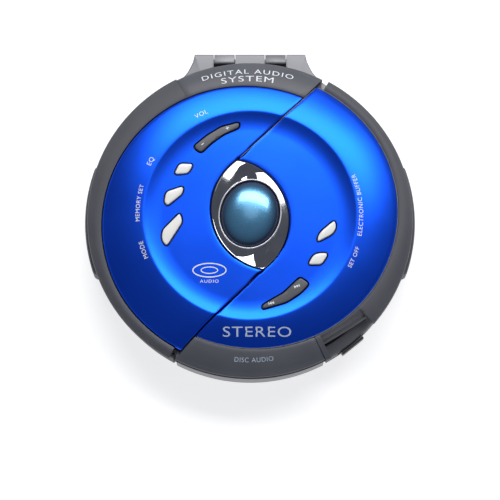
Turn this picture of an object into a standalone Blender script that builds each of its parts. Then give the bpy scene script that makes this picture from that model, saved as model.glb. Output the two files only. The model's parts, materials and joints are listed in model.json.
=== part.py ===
"""Portable disc player: a round clamshell with a hinged lid, keys, disc mechanism and battery bay.

Run with blender --background --python part.py, or from Blender's text editor.
Sizes are in millimetres about the disc's axis, and every part hangs on one empty that
puts the footprint's centre at the world's origin. +Z is up and the hinge is at +Y.
Clock angles are in degrees, clockwise from the hinge side as seen from above.
"""
import math

import bmesh
import bpy
from mathutils import Vector

# Driving dimensions
MM = 0.001
SPINDLE_Y = -2.7  # the disc's axis, measured from the footprint's centre
GAP = 0.3  # between pieces that touch on the real object
STEP = 5  # degrees between the sections of a swept ring

BASE_RADIUS = 77.8
FRONT_RADIUS = 78.0
CORE_RADIUS = 75.3
INNER_RADIUS = 72.6
FOOT_HEIGHT = 1.2
FLOOR_BOTTOM = 1.5
FLOOR_TOP = 4.0
BASE_TOP = 24.0

LID_RADIUS = 79.0
CAP_RADIUS = 78.2
LID_BOTTOM = 24.3
FLANGE_INNER = 62.5
FLANGE_BOTTOM = 25.0
FLANGE_TOP = 26.5
RIM_SHOULDER = 28.6
CAP_START = -27.5
RIM_START = 29.5
SCOOP_START = 131.0
SCOOP_END = 150.5

DISH_FLOOR_RADIUS = 42.4
DISH_CREST_RADIUS = 51.4
DISH_FLOOR = 34.2
FLOOR_CROWN = 0.7
CREST = 35.6
SHOULDER_SPAN = 20.6
SHOULDER_DROP = 5.5
SHOULDER_CURVE = 0.55  # the share of the shoulder's drop that is curved, the rest is straight
PANEL_THICK = 1.8
EDGE_RADIUS_WIDE = 73.0
EDGE_RADIUS_NARROW = 64.3

EYE_TILT = -13.1
EYE_HALF_WIDTH = 18.5
EYE_ARC = 30.3
SEAM_OFFSET = 23.76
SEAM_HEADING = 45.0
SEAM_BOW = 0.9
SEAM_INNER = 28.0
SEAM_GAP = 0.7

WINDOW_HALF = (14.4, 16.6)
WINDOW_TILT = 12.0
WINDOW_TOP = 40.4

HINGE_Y = 80.8
HINGE_Z = 20.5
HINGE_BACK = 84.0
BARREL_RADIUS = 3.0
POCKET_RADIUS = 2.25
HINGE_FLANK = ((27.5, HINGE_BACK), (29.5, 72.5), (41.0, 66.0))
SLOT_NEAR = 7.3
SLOT_FAR = 18.0

WELL_RADIUS = 62.4
WELL_FLOOR = 20.7
DECK_UNDER = 19.2
DECK_TOP = 23.7
DISC_SEAT = 22.6

CELL_RADIUS = 7.1
CELL_LENGTH = 50.5
CELL_Z = 10.3
CELL_Y = (-33.7, -48.9)

ROD_X = 8.5
ROD_Z = 14.0
ROD_RADIUS = 1.25
SLED_START = 24.0
GEAR_MODULE = 0.4
SCREW_GEAR_TEETH = 20
PINION_TEETH = 8
PINION_ANGLE = 200.0

LEVER_CLOCK = 141.0
HOLD_CLOCK = 298.0
PHONE_CLOCK = 48.0
POWER_CLOCK = 312.0
SOCKET_Z = 14.0

BUTTONS = {
    "eq_button": [(-34.1, 25.3), (-27.5, 25.0), (-29.9, 20.5), (-36.6, 20.0)],
    "memory_button": [(-32.2, 14.0), (-32.6, 10.4), (-39.8, 4.4), (-41.3, 6.4), (-40.4, 11.2)],
    "mode_button": [(-33.7, 0.8), (-32.6, -3.7), (-40.1, -15.6), (-42.3, -12.4), (-42.0, -7.8)],
    "play_button": [(40.8, -2.8), (41.4, -6.6), (39.4, -9.7), (32.5, -13.4), (32.5, -11.3),
                    (34.3, -8.2)],
    "stop_button": [(36.7, -18.9), (36.9, -20.3), (34.3, -24.4), (27.8, -24.6), (30.2, -20.3),
                    (32.5, -19.1)],
}
ROCKERS = {
    "volume_rocker": [(-5.3, 45.9), (-13.9, 43.6), (-20.8, 39.3), (-27.4, 33.8), (-23.8, 30.7),
                      (-18.8, 35.7), (-12.9, 40.0), (-5.3, 43.4)],
    "skip_rocker": [(6.0, -46.3), (17.7, -42.7), (24.1, -38.4), (28.3, -33.9), (24.1, -30.9),
                    (22.3, -32.4), (16.2, -38.4), (9.3, -42.4), (6.0, -44.3)],
}
BUTTON_RISE = 0.9
BUTTON_FLANGE = (30.6, 31.3)


# Shapes
def polar(radius, clock, z):
    """A point at a radius and a clock angle."""
    angle = math.radians(clock)
    return (radius * math.sin(angle), radius * math.cos(angle), z)


def smooth(value):
    """An S-curve from 0 to 1."""
    value = min(max(value, 0.0), 1.0)
    return value * value * (3.0 - 2.0 * value)


def around(profile, steps, centre=(0.0, 0.0), clock=0.0):
    """Sections of a turned piece: the (radius, z) profile at each step of a full turn."""
    sections = []
    for index in range(steps):
        section = [polar(r, clock + 360.0 * index / steps, z) for r, z in profile]
        sections.append([(x + centre[0], y + centre[1], z) for x, y, z in section])
    return sections


def laid_along(sections, direction, start):
    """Turn pieces made about +Z so that their +Z points along a direction from a start point."""
    turn = Vector((0, 0, 1)).rotation_difference(Vector(direction))
    return [[tuple(turn @ Vector(p) + Vector(start)) for p in section] for section in sections]


def stack(levels):
    """Sections of a piece built of flat outlines, each at its own height."""
    return [[(x, y, z) for x, y in outline] for outline, z in levels]


def rectangle(half_x, half_y, centre=(0.0, 0.0)):
    """A rectangle's corners."""
    corners = ((-half_x, -half_y), (half_x, -half_y), (half_x, half_y), (-half_x, half_y))
    return [(x + centre[0], y + centre[1]) for x, y in corners]


def circle(radius, steps, centre=(0.0, 0.0)):
    """A circle as a polygon."""
    points = [polar(radius, 360.0 * i / steps, 0.0) for i in range(steps)]
    return [(x + centre[0], y + centre[1]) for x, y, _ in points]


def ellipse(half, tilt, grow, steps):
    """A window outline: an ellipse leaning clockwise, its half axes grown by an offset."""
    turn = math.radians(tilt)
    points = []
    for index in range(steps):
        a = 2.0 * math.pi * index / steps
        x = (half[0] + grow) * math.sin(a)
        y = (half[1] + grow) * math.cos(a)
        points.append((x * math.cos(turn) + y * math.sin(turn),
                       y * math.cos(turn) - x * math.sin(turn)))
    return points


def rounded(points, radius):
    """Round each corner of an outline with three points."""
    outline = []
    count = len(points)
    for i in range(count):
        corner = Vector(points[i])
        before = Vector(points[i - 1]) - corner
        after = Vector(points[(i + 1) % count]) - corner
        a = corner + before.normalized() * min(radius, 0.45 * before.length)
        b = corner + after.normalized() * min(radius, 0.45 * after.length)
        for t in (0.0, 0.5, 1.0):
            point = a * (1 - t) ** 2 + corner * 2 * t * (1 - t) + b * t * t
            outline.append(tuple(point))
    return outline


def grown(outline, distance):
    """Move each side of an outline outward by a distance."""
    count = len(outline)
    area = sum(outline[i - 1][0] * outline[i][1] - outline[i][0] * outline[i - 1][1]
               for i in range(count))
    turn = 1.0 if area > 0 else -1.0
    points = []
    for i in range(count):
        here = Vector(outline[i])
        back = (here - Vector(outline[i - 1])).normalized()
        ahead = (Vector(outline[(i + 1) % count]) - here).normalized()
        normal = Vector((back.y + ahead.y, -back.x - ahead.x)) * turn
        scale = distance / max(0.6, 0.5 * normal.length)
        points.append(tuple(here + normal.normalized() * scale))
    return points


def coil(radius, wire, pitch, turns, steps=8, sides=5):
    """Sections of a helical spring about +Z."""
    sections = []
    for index in range(int(turns * steps) + 1):
        a = 2.0 * math.pi * index / steps
        rise = pitch * index / steps
        section = []
        for side in range(sides):
            b = 2.0 * math.pi * side / sides
            r = radius + wire * math.cos(b)
            section.append((r * math.cos(a), r * math.sin(a), rise + wire * math.sin(b)))
        sections.append(section)
    return sections


def gear(teeth, phase, width, reach=0.4, depth=0.5):
    """Sections of a spur gear about +Z, with a tooth centred on the phase angle in degrees."""
    pitch = 0.5 * GEAR_MODULE * teeth
    outline = []
    for tooth in range(teeth):
        middle = math.radians(phase) + 2.0 * math.pi * tooth / teeth
        root_half = 0.32 / pitch
        tip_half = 0.12 / pitch
        for angle, r in ((-root_half, pitch - depth), (-tip_half, pitch + reach),
                         (tip_half, pitch + reach), (root_half, pitch - depth)):
            outline.append((r * math.cos(middle + angle), r * math.sin(middle + angle)))
    return stack([(outline, 0.0), (outline, width)])


# Scene helpers
def clear_scene():
    """Remove what the scene held."""
    for item in list(bpy.data.objects):
        bpy.data.objects.remove(item, do_unlink=True)


def finish(name, colour, roughness, metallic=0.0):
    """A Principled material."""
    item = bpy.data.materials.get(name)
    if item:
        return item
    item = bpy.data.materials.new(name)
    item.use_nodes = True
    shader = item.node_tree.nodes["Principled BSDF"]
    shader.inputs["Base Color"].default_value = (*colour, 1.0)
    shader.inputs["Roughness"].default_value = roughness
    shader.inputs["Metallic"].default_value = metallic
    return item


def solid(name, sections, material, closed=False, origin=(0.0, 0.0, 0.0)):
    """Skin a run of equal sections into one closed solid whose origin is given."""
    bm = bmesh.new()
    start = Vector(origin)
    rows = [[bm.verts.new((Vector(p) - start) * MM) for p in section] for section in sections]
    size = len(rows[0])
    for index in range(len(rows) if closed else len(rows) - 1):
        near = rows[index]
        far = rows[(index + 1) % len(rows)]
        for j in range(size):
            k = (j + 1) % size
            bm.faces.new((near[j], far[j], far[k], near[k]))
    if not closed:
        bm.faces.new(rows[0])
        bm.faces.new(list(reversed(rows[-1])))
    bmesh.ops.remove_doubles(bm, verts=bm.verts, dist=1e-7)
    bmesh.ops.triangulate(bm, faces=bm.faces)
    bmesh.ops.recalc_face_normals(bm, faces=bm.faces)
    mesh = bpy.data.meshes.new(name)
    bm.to_mesh(mesh)
    bm.free()
    mesh.shade_smooth()
    mesh.set_sharp_from_angle(angle=math.radians(35))
    mesh.materials.append(material)
    item = bpy.data.objects.new(name, mesh)
    bpy.context.scene.collection.objects.link(item)
    item.parent = PLAYER
    item.location = start * MM
    return item


def cutter(name, sections, closed=False):
    """A solid that is only used to cut others."""
    item = solid("cut_" + name, sections, finish("guide", (1, 0, 0), 0.5), closed)
    item.hide_render = True
    item.display_type = "WIRE"
    return item


def cut(part, cutters):
    """Take the cutters away from a part."""
    for tool in cutters:
        modifier = part.modifiers.new(tool.name, "BOOLEAN")
        modifier.operation = "DIFFERENCE"
        modifier.solver = "EXACT"
        modifier.object = tool


def radial(outlines, clock, height):
    """Sections built outward along a clock angle: (half width, low z, high z, radius) each."""
    angle = math.radians(clock)
    out = Vector((math.sin(angle), math.cos(angle), 0.0))
    side = Vector((math.cos(angle), -math.sin(angle), 0.0))
    sections = []
    for half, low, high, radius in outlines:
        centre = out * radius + Vector((0.0, 0.0, height))
        corners = ((-half, low), (half, low), (half, high), (-half, high))
        sections.append([tuple(centre + side * a + Vector((0.0, 0.0, b))) for a, b in corners])
    return sections


def turned_radial(profile, steps, clock, height):
    """A turned piece whose axis runs outward along a clock angle; profile is (radius, reach)."""
    angle = math.radians(clock)
    out = (math.sin(angle), math.cos(angle), 0.0)
    return laid_along(around(profile, steps), out, (0.0, 0.0, height))


# Finishes
def silver():
    return finish("silver_plastic", (0.36, 0.36, 0.38), 0.38, 0.35)


def rubber():
    return finish("dark_rubber", (0.055, 0.057, 0.065), 0.62)


def dark_plastic():
    return finish("dark_plastic", (0.045, 0.045, 0.05), 0.45)


def blue():
    return finish("blue_metallic", (0.01, 0.12, 0.8), 0.3, 0.6)


def chrome():
    return finish("chrome", (0.8, 0.8, 0.82), 0.08, 1.0)


def white():
    return finish("white_plastic", (0.85, 0.84, 0.78), 0.35)


def steel():
    return finish("steel", (0.6, 0.6, 0.6), 0.3, 1.0)


def circuit():
    return finish("circuit_board", (0.02, 0.16, 0.06), 0.5)


# Outlines that several parts share
def edge_share(share):
    """The blue panels' outer radius, from one seam (0) round to the other (1)."""
    drop = EDGE_RADIUS_WIDE - EDGE_RADIUS_NARROW
    return EDGE_RADIUS_WIDE - drop * smooth((share - 0.12) / 0.85)


def edge_radius(clock):
    """The blue panels' outer radius at a clock angle; it repeats every half turn."""
    return edge_share(((clock - 26.4) % 180.0) / 180.0)


def top_height(radius):
    """The height of the lid's blue skin: a convex shoulder, a crest and a shallow dish."""
    if radius >= DISH_CREST_RADIUS:
        share = (radius - DISH_CREST_RADIUS) / SHOULDER_SPAN
        fall = (1.0 - SHOULDER_CURVE) * share + SHOULDER_CURVE * share ** 2
        return CREST - SHOULDER_DROP * fall
    rise = max(radius - DISH_FLOOR_RADIUS, 0.0) / (DISH_CREST_RADIUS - DISH_FLOOR_RADIUS)
    floor = DISH_FLOOR + FLOOR_CROWN * (1.0 - min(radius / DISH_FLOOR_RADIUS, 1.0) ** 2)
    return floor + (CREST - DISH_FLOOR) * rise ** 2


def eye_radius(clock):
    """The radius of the almond round the window: two arcs that meet at two tips."""
    angle = math.radians(clock - EYE_TILT)
    shift = EYE_ARC - EYE_HALF_WIDTH
    reach = math.sqrt(EYE_ARC ** 2 - (shift * math.cos(angle)) ** 2)
    return reach - shift * abs(math.sin(angle))


def seam_clock(radius, side=0.0):
    """The diagonal seam's clock angle at a radius, moved sideways by a distance."""
    radius = max(radius, SEAM_INNER)
    lean = math.asin(SEAM_OFFSET / radius)
    span = (radius - SEAM_INNER) / (LID_RADIUS - SEAM_INNER)
    bow = SEAM_BOW * math.sin(math.pi * span)
    shift = math.degrees(side / (radius * math.cos(lean)))
    return SEAM_HEADING - math.degrees(lean) + bow + shift


def under_cap(clock):
    """Whether the rim is low there, below the rear or the front cap."""
    return CAP_START < (clock + 90.0) % 180.0 - 90.0 < RIM_START


def rim_radius(clock):
    """The lid rim's outer radius: round, with a thumb scoop at the front right."""
    folded = (clock + 90.0) % 180.0 - 90.0
    if seam_clock(CAP_RADIUS) < folded < RIM_START:
        return EDGE_RADIUS_WIDE + 1.2
    if SCOOP_START < clock < SCOOP_END:
        share = (clock - SCOOP_START) / (SCOOP_END - SCOOP_START)
        return 71.3 + 3.0 * (1.0 - share) ** 2
    return LID_RADIUS - 0.4 if under_cap(clock) else LID_RADIUS


def hinge_radius(clock):
    """The bottom case's outline at the hinge block, or None beside it."""
    angle = abs(clock)
    corner = math.degrees(math.atan2(HINGE_FLANK[0][0], HINGE_FLANK[0][1]))
    if angle <= corner:
        return HINGE_BACK / math.cos(math.radians(angle))
    a, b, c = (Vector(p) for p in HINGE_FLANK)
    steps = 40
    for i in range(steps + 1):
        t = i / steps
        point = a * (1 - t) ** 2 + b * 2 * t * (1 - t) + c * t * t
        if math.degrees(math.atan2(point.x, point.y)) >= angle:
            return max(point.length, CORE_RADIUS)
    return None


def case_radius(clock):
    """The bottom case's outer radius."""
    folded = (clock + 180.0) % 360.0 - 180.0
    flank = hinge_radius(folded)
    if flank:
        return flank
    return FRONT_RADIUS if abs(folded) > 180.0 + CAP_START else CORE_RADIUS


def ring_clocks(extra):
    """Clock angles for a full ring, with extra ones where its outline changes."""
    return sorted(set(range(-180, 180, STEP)) | set(extra))


# Base
def make_bottom_case():
    """The tub: floor, wall, hinge block and front section, with its openings."""
    extra = []
    for angle in (18.1, 19.0, 21.0, 23.0, 27.0, 29.0, 31.2, 32.4, 152.0, 152.6):
        extra += [-angle, angle]
    sections = []
    for clock in ring_clocks(extra):
        outer = case_radius(clock)
        lift = 7.0 + 0.62 * (outer - CORE_RADIUS)
        profile = [(0.0, FLOOR_BOTTOM), (69.5, FLOOR_BOTTOM), (min(outer, CORE_RADIUS), 7.0),
                   (outer, lift + 0.4), (outer, BASE_TOP - 1.0), (outer - 1.0, BASE_TOP),
                   (INNER_RADIUS, BASE_TOP), (INNER_RADIUS, 6.5), (70.5, FLOOR_TOP),
                   (0.0, FLOOR_TOP)]
        sections.append([polar(r, clock, z) for r, z in profile])
    case = solid("bottom_case", sections, silver(), closed=True)
    slots = []
    half = 0.5 * (SLOT_FAR - SLOT_NEAR)
    for i, x in enumerate((-SLOT_NEAR - half, SLOT_NEAR + half)):
        opening = rectangle(half, 6.0, (x, HINGE_Y + 1.8))
        slots.append(cutter("slot_%d" % i, stack([(opening, 15.5), (opening, 26.0)])))
    bore = cutter("hinge_bore", laid_along(stack([(circle(1.5, 12), 0.0), (circle(1.5, 12), 48.6)]),
                                           (1, 0, 0), (-24.3, HINGE_Y, HINGE_Z)))
    recess = cutter("cover_recess", stack([(rectangle(30.3, 27.0, (0.0, -51.0)), -1.0),
                                           (rectangle(30.3, 27.0, (0.0, -51.0)), 3.0)]))
    mouth = cutter("battery_mouth", stack([(rectangle(28.5, 16.3, (0.0, -41.3)), 2.0),
                                           (rectangle(28.5, 16.3, (0.0, -41.3)), 5.0)]))
    cut(case, slots + [bore, recess, mouth] + wall_cutters() + screw_cutters())


def wall_cutters():
    """The cutters for what shows through the base's side wall; made once and shared."""
    if bpy.data.objects.get("cut_lever"):
        return [bpy.data.objects[n] for n in ("cut_lever", "cut_hold", "cut_phone", "cut_power")]
    lever = cutter("lever", radial([(8.2, -2.1, 2.1, 69.0), (8.2, -2.1, 2.1, 83.0)],
                                   LEVER_CLOCK, 17.0))
    hold = cutter("hold", radial([(5.2, -1.8, 1.8, 69.0), (5.2, -1.8, 1.8, 83.0)],
                                 HOLD_CLOCK, 15.0))
    hole = [(0.0, 68.0), (3.9, 68.0), (3.9, 83.0), (0.0, 83.0)]
    phone = cutter("phone", turned_radial(hole, 16, PHONE_CLOCK, SOCKET_Z), closed=True)
    power = cutter("power", turned_radial(hole, 16, POWER_CLOCK, SOCKET_Z), closed=True)
    return [lever, hold, phone, power]


SCREW_SPOTS = [polar(62.0, clock, 0.0)[:2] for clock in (22.0, 100.0, 260.0)]


def screw_cutters():
    """Counterbores for the case screws."""
    profile = [(0.0, 0.5), (3.0, 0.5), (3.0, 2.9), (1.6, 2.9), (1.6, 5.0), (0.0, 5.0)]
    return [cutter("screw_%d" % i, around(profile, 12, spot), closed=True)
            for i, spot in enumerate(SCREW_SPOTS)]


def make_case_screws():
    """Three screws that hold the base together."""
    profile = [(0.0, 1.8), (2.3, 1.8), (2.6, 2.0), (2.6, 2.6), (1.3, 2.6), (1.3, 10.0), (0.0, 10.0)]
    for i, spot in enumerate(SCREW_SPOTS):
        solid("case_screw_%d" % (i + 1), around(profile, 12, spot), steel(), closed=True)


def make_armour():
    """Rubber armour round the left and right of the base."""
    profile = [(CORE_RADIUS + GAP, 7.4), (77.0, 8.4), (BASE_RADIUS, 12.0), (BASE_RADIUS, 22.6),
               (77.0, 23.8), (CORE_RADIUS + GAP, 23.8)]
    for name, side in (("right", 1.0), ("left", -1.0)):
        clocks = [side * (33.0 + 118.6 * i / 20.0) for i in range(21)]
        sections = [[polar(r, clock, z) for r, z in profile] for clock in clocks]
        part = solid("armour_" + name, sections, rubber())
        cutters = wall_cutters()
        cut(part, [cutters[0], cutters[2]] if side > 0 else [cutters[1], cutters[3]])


def make_grips():
    """A raised grip on each side."""
    for name, side in (("right", 1.0), ("left", -1.0)):
        sections = []
        for angle, outer in ((-20.5, 78.9), (-19.4, 80.5), (-13.0, 80.5), (-6.5, 80.5), (0.0, 80.5),
                             (6.5, 80.5), (13.0, 80.5), (19.4, 80.5), (20.5, 78.9)):
            inner = BASE_RADIUS + GAP
            profile = [(inner, 9.5), (outer - 0.6, 9.5), (outer, 11.5), (outer, 20.5),
                       (outer - 0.6, 22.4), (inner, 22.4)]
            sections.append([polar(r, side * (90.0 + angle), z) for r, z in profile])
        solid("grip_" + name, sections, rubber())


def make_feet():
    """Four rubber feet."""
    profile = [(0.0, 0.0), (4.6, 0.0), (5.0, 0.4), (5.0, FOOT_HEIGHT), (0.0, FOOT_HEIGHT)]
    spots = ((-45.0, -44.0), (45.0, -44.0), (-45.0, 44.0), (45.0, 44.0))
    for i, spot in enumerate(spots):
        solid("foot_%d" % (i + 1), around(profile, 16, spot), rubber(), closed=True)


def make_deck():
    """The disc tray: a round well with a hole for the turntable and a slot for the pickup."""
    profile = [(0.0, DECK_UNDER), (63.9, DECK_UNDER), (63.9, 22.2), (72.2, 22.2), (72.2, DECK_TOP),
               (WELL_RADIUS, DECK_TOP), (WELL_RADIUS, WELL_FLOOR), (0.0, WELL_FLOOR)]
    deck = solid("deck", around(profile, 56), dark_plastic(), closed=True)
    hole = cutter("hub_hole", stack([(circle(15.0, 24), 18.0), (circle(15.0, 24), 22.0)]))
    slot = cutter("lens_slot", stack([(rectangle(6.5, 26.1, (0.0, 36.0)), 18.0),
                                      (rectangle(6.5, 26.1, (0.0, 36.0)), 22.0)]))
    cut(deck, [hole, slot])


def make_battery_bay():
    """An upturned tub over the two cells, and the cells with their contacts."""
    outer = rectangle(30.0, 17.65, (0.0, -41.25))
    inner = rectangle(28.8, 16.45, (0.0, -41.25))
    solid("battery_bay", stack([(inner, 17.9), (inner, 4.3), (outer, 4.3), (outer, 18.9)]),
          dark_plastic())
    profile = [(0.0, 0.0), (6.6, 0.0), (CELL_RADIUS, 0.6), (CELL_RADIUS, 48.7), (6.5, 49.4),
               (2.7, 49.4), (2.7, CELL_LENGTH), (0.0, CELL_LENGTH)]
    cell = finish("cell_wrap", (0.5, 0.4, 0.12), 0.35, 0.5)
    for i, y in enumerate(CELL_Y):
        way = 1.0 if i == 0 else -1.0
        half = way * 0.5 * CELL_LENGTH
        sections = laid_along(around(profile, 18), (way, 0, 0), (-half, y, CELL_Z))
        solid("battery_%d" % (i + 1), sections, cell, closed=True)
        turns = laid_along(coil(4.0, 0.3, 0.65, 2.5), (-way, 0, 0), (-half - way * 0.6, y, CELL_Z))
        solid("contact_spring_%d" % (i + 1), turns, steel())
    plate = rectangle(0.2, 12.0, (-28.4, -41.3))
    solid("contact_plate", stack([(plate, 6.0), (plate, 14.0)]), steel())


def make_battery_cover():
    """The sliding cover in the floor, with its front edge on the case's curve."""
    outline = [(-30.0, -24.3)]
    for i in range(13):
        angle = math.radians(-25.9 + 51.8 * i / 12.0)
        outline.append((69.3 * math.sin(angle), -69.3 * math.cos(angle)))
    outline.append((30.0, -24.3))
    solid("battery_cover", stack([(outline, FLOOR_BOTTOM), (outline, 2.7)]), silver())


def make_boards_and_sockets():
    """The main board and the two sockets."""
    outline = [polar(57.5, -95.0 + 190.0 * i / 18.0, 0.0)[:2] for i in range(19)]
    solid("main_board", stack([(outline, 5.0), (outline, 6.2)]), circuit())
    phone = [(0.0, 58.0), (4.4, 58.0), (4.4, 72.1), (3.6, 72.1), (3.6, 78.1), (1.8, 78.1),
             (1.8, 64.0), (0.0, 64.0)]
    solid("headphone_jack", turned_radial(phone, 16, PHONE_CLOCK, SOCKET_Z), dark_plastic(),
          closed=True)
    power = [(0.0, 60.0), (4.4, 60.0), (4.4, 72.1), (3.6, 72.1), (3.6, 78.1), (2.2, 78.1),
             (2.2, 66.0), (0.6, 66.0), (0.6, 76.0), (0.0, 76.0)]
    solid("dc_jack", turned_radial(power, 16, POWER_CLOCK, SOCKET_Z), dark_plastic(), closed=True)


def make_sliders():
    """The hold switch and the open lever, each a plate, a stem and a knob, and the lever's spring."""
    hold = [(4.2, -2.6, 2.6, 70.6), (4.2, -2.6, 2.6, 71.9), (1.8, -1.3, 1.3, 71.9),
            (1.8, -1.3, 1.3, 78.2), (2.8, -1.9, 1.9, 78.2), (2.6, -1.6, 1.6, 79.2)]
    side = math.radians(HOLD_CLOCK)
    shift = (-1.5 * math.cos(side), 1.5 * math.sin(side), 0.0)
    sections = [[tuple(Vector(p) + Vector(shift)) for p in s] for s in radial(hold, HOLD_CLOCK, 15.0)]
    origin = tuple(Vector(polar(78.0, HOLD_CLOCK, 15.0)) + Vector(shift))
    solid("hold_switch", sections, silver(), origin=origin)
    lever = [(7.5, -3.6, 3.6, 70.0), (7.5, -3.6, 3.6, 71.5), (4.4, -1.5, 1.5, 71.5),
             (4.4, -1.5, 1.5, 78.2), (6.6, -3.0, 3.0, 78.2), (6.2, -2.6, 2.6, 79.4)]
    solid("open_lever", radial(lever, LEVER_CLOCK, 17.0), silver(),
          origin=polar(78.0, LEVER_CLOCK, 17.0))
    along = math.radians(LEVER_CLOCK)
    side = Vector((math.cos(along), -math.sin(along), 0.0))
    start = Vector(polar(69.3, LEVER_CLOCK, 17.0)) - side * 8.4
    solid("latch_spring", laid_along(coil(1.2, 0.22, 1.0, 6.0, 6, 4), -side, start), steel())


# Hinge
def arm_profile():
    """An arm's side view: a block round the pin, flush with the case, with a lip by the lid."""
    front = LID_RADIUS - 0.5
    barrel = []
    for i in range(9):
        angle = math.radians(205.0 + 120.0 * i / 8.0)
        barrel.append((HINGE_Y + BARREL_RADIUS * math.cos(angle),
                       HINGE_Z + BARREL_RADIUS * math.sin(angle)))
    back = [(HINGE_BACK, 19.2), (HINGE_BACK, BASE_TOP - 0.8), (HINGE_BACK - 0.8, BASE_TOP)]
    lip = [(front + 1.4, BASE_TOP), (front + 1.4, 26.4), (front, 26.4), (front, 19.4)]
    return barrel + back + lip


def make_hinge():
    """The pin, the two arms of the lid that turn on it, and a coil inside the right arm."""
    solid("hinge_pin", laid_along(stack([(circle(1.2, 12), 0.0), (circle(1.2, 12), 48.0)]),
                                  (1, 0, 0), (-24.0, HINGE_Y, HINGE_Z)), steel())
    width = SLOT_FAR - SLOT_NEAR - 2.0 * GAP
    for name, low in (("left", -SLOT_FAR + GAP), ("right", SLOT_NEAR + GAP)):
        sections = [[(x, y, z) for y, z in arm_profile()] for x in (low, low + width)]
        arm = solid("hinge_arm_" + name, sections, silver(), origin=(0.0, HINGE_Y, HINGE_Z))
        bore = stack([(circle(1.55, 12), 0.0), (circle(1.55, 12), width + 2.0)])
        tools = [cutter("arm_bore_" + name, laid_along(bore, (1, 0, 0),
                                                       (low - 1.0, HINGE_Y, HINGE_Z)))]
        if name == "right":
            tools.append(cutter("spring_pocket", [[(x, y, z) for y, z in pocket_profile()]
                                                  for x in (13.2, 19.0)]))
        cut(arm, tools)
    turns = laid_along(coil(1.7, 0.25, 0.8, 4.0), (1, 0, 0), (14.0, HINGE_Y, HINGE_Z))
    solid("hinge_spring", turns, steel())


def pocket_profile():
    """The side view of the spring's pocket in the right arm, open at the bottom."""
    arch = []
    for i in range(12):
        angle = math.radians(-20.0 + 20.0 * i)
        arch.append((HINGE_Y + POCKET_RADIUS * math.cos(angle),
                     HINGE_Z + POCKET_RADIUS * math.sin(angle)))
    reach = HINGE_Y - arch[-1][0]
    return arch + [(HINGE_Y - reach, 14.0), (HINGE_Y + reach, 14.0)]


# Disc mechanism
def make_mechanism():
    """The chassis on its dampers, the motors and the rod that guides the pickup."""
    outline = [(-19.0, -16.0), (19.0, -16.0), (19.0, 64.0), (15.0, 68.5), (-15.0, 68.5),
               (-19.0, 64.0)]
    chassis = solid("mech_chassis", stack([(outline, 15.8), (outline, 17.0)]), steel())
    path = rectangle(13.4, 27.6, (0.0, 39.0))
    cut(chassis, [cutter("sled_path", stack([(path, 15.0), (path, 18.0)])),
                  cutter("boss_hole", stack([(circle(5.0, 16), 15.0), (circle(5.0, 16), 18.0)]))])
    grommet = [(0.0, 11.0), (2.4, 11.0), (2.4, 12.4), (1.8, 13.2), (2.4, 14.0), (2.4, 15.5),
               (0.0, 15.5)]
    for i, spot in enumerate(((-16.3, -12.5), (16.3, -12.5), (16.3, 62.0))):
        solid("damper_%d" % (i + 1), around(grommet, 10, spot), rubber(), closed=True)
    motor = [(1.1, 8.5), (9.7, 8.5), (10.5, 9.2), (10.5, 15.5), (1.1, 15.5)]
    solid("spindle_motor", around(motor, 24), steel(), closed=True)
    centre = (*pinion_centre(),)
    can = [(0.0, 0.0), (3.0, 0.0), (3.0, 12.0), (0.0, 12.0)]
    solid("feed_motor", laid_along(around(can, 14), (0, 1, 0), (centre[0], 15.0, centre[1])),
          steel(), closed=True)
    rod = circle(ROD_RADIUS, 12)
    solid("guide_rod", laid_along(stack([(rod, 0.0), (rod, 55.0)]), (0, 1, 0),
                                  (ROD_X, 12.0, ROD_Z)), steel())


def pinion_centre():
    """Where the feed pinion's axis crosses the XZ plane."""
    distance = 0.5 * GEAR_MODULE * (SCREW_GEAR_TEETH + PINION_TEETH) + 0.1
    angle = math.radians(PINION_ANGLE)
    return (-ROD_X + distance * math.cos(angle), ROD_Z + distance * math.sin(angle))


def make_feed_train():
    """The lead screw with its gear, and the pinion that drives it."""
    brass = finish("brass", (0.7, 0.5, 0.2), 0.3, 1.0)
    nylon = finish("nylon", (0.75, 0.73, 0.66), 0.5)
    start = (-ROD_X, 12.0, ROD_Z)
    pinion = (pinion_centre()[0], 12.0, pinion_centre()[1])
    screw = gear(SCREW_GEAR_TEETH, PINION_ANGLE, 2.5)
    count = len(screw[0])
    thread = circle(ROD_RADIUS, count)
    half = count // 4
    thread = [thread[(half - i) % count] for i in range(count)]
    screw += stack([(thread, 2.5), (thread, 55.0)])
    solid("lead_screw", upright_to_y(screw, start), brass, closed=False, origin=start)
    teeth = gear(PINION_TEETH, PINION_ANGLE - 180.0 + 180.0 / PINION_TEETH, 2.5)
    solid("feed_pinion", upright_to_y(teeth, pinion), nylon, origin=pinion)


def upright_to_y(sections, start):
    """Lay sections made about +Z along +Y, keeping their angles as seen from the front."""
    return [[(start[0] + x, start[1] + z, start[2] + y) for x, y, z in s] for s in sections]


def make_turntable():
    """The shaft, platter and hub that turn the disc."""
    profile = [(0.0, 9.5), (0.75, 9.5), (0.75, 17.6), (4.0, 17.6), (4.0, 21.0), (13.5, 21.0),
               (13.5, DISC_SEAT), (7.35, DISC_SEAT), (7.35, 24.2), (6.4, 24.8), (0.0, 24.8)]
    solid("turntable", around(profile, 24), dark_plastic(), closed=True)


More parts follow.
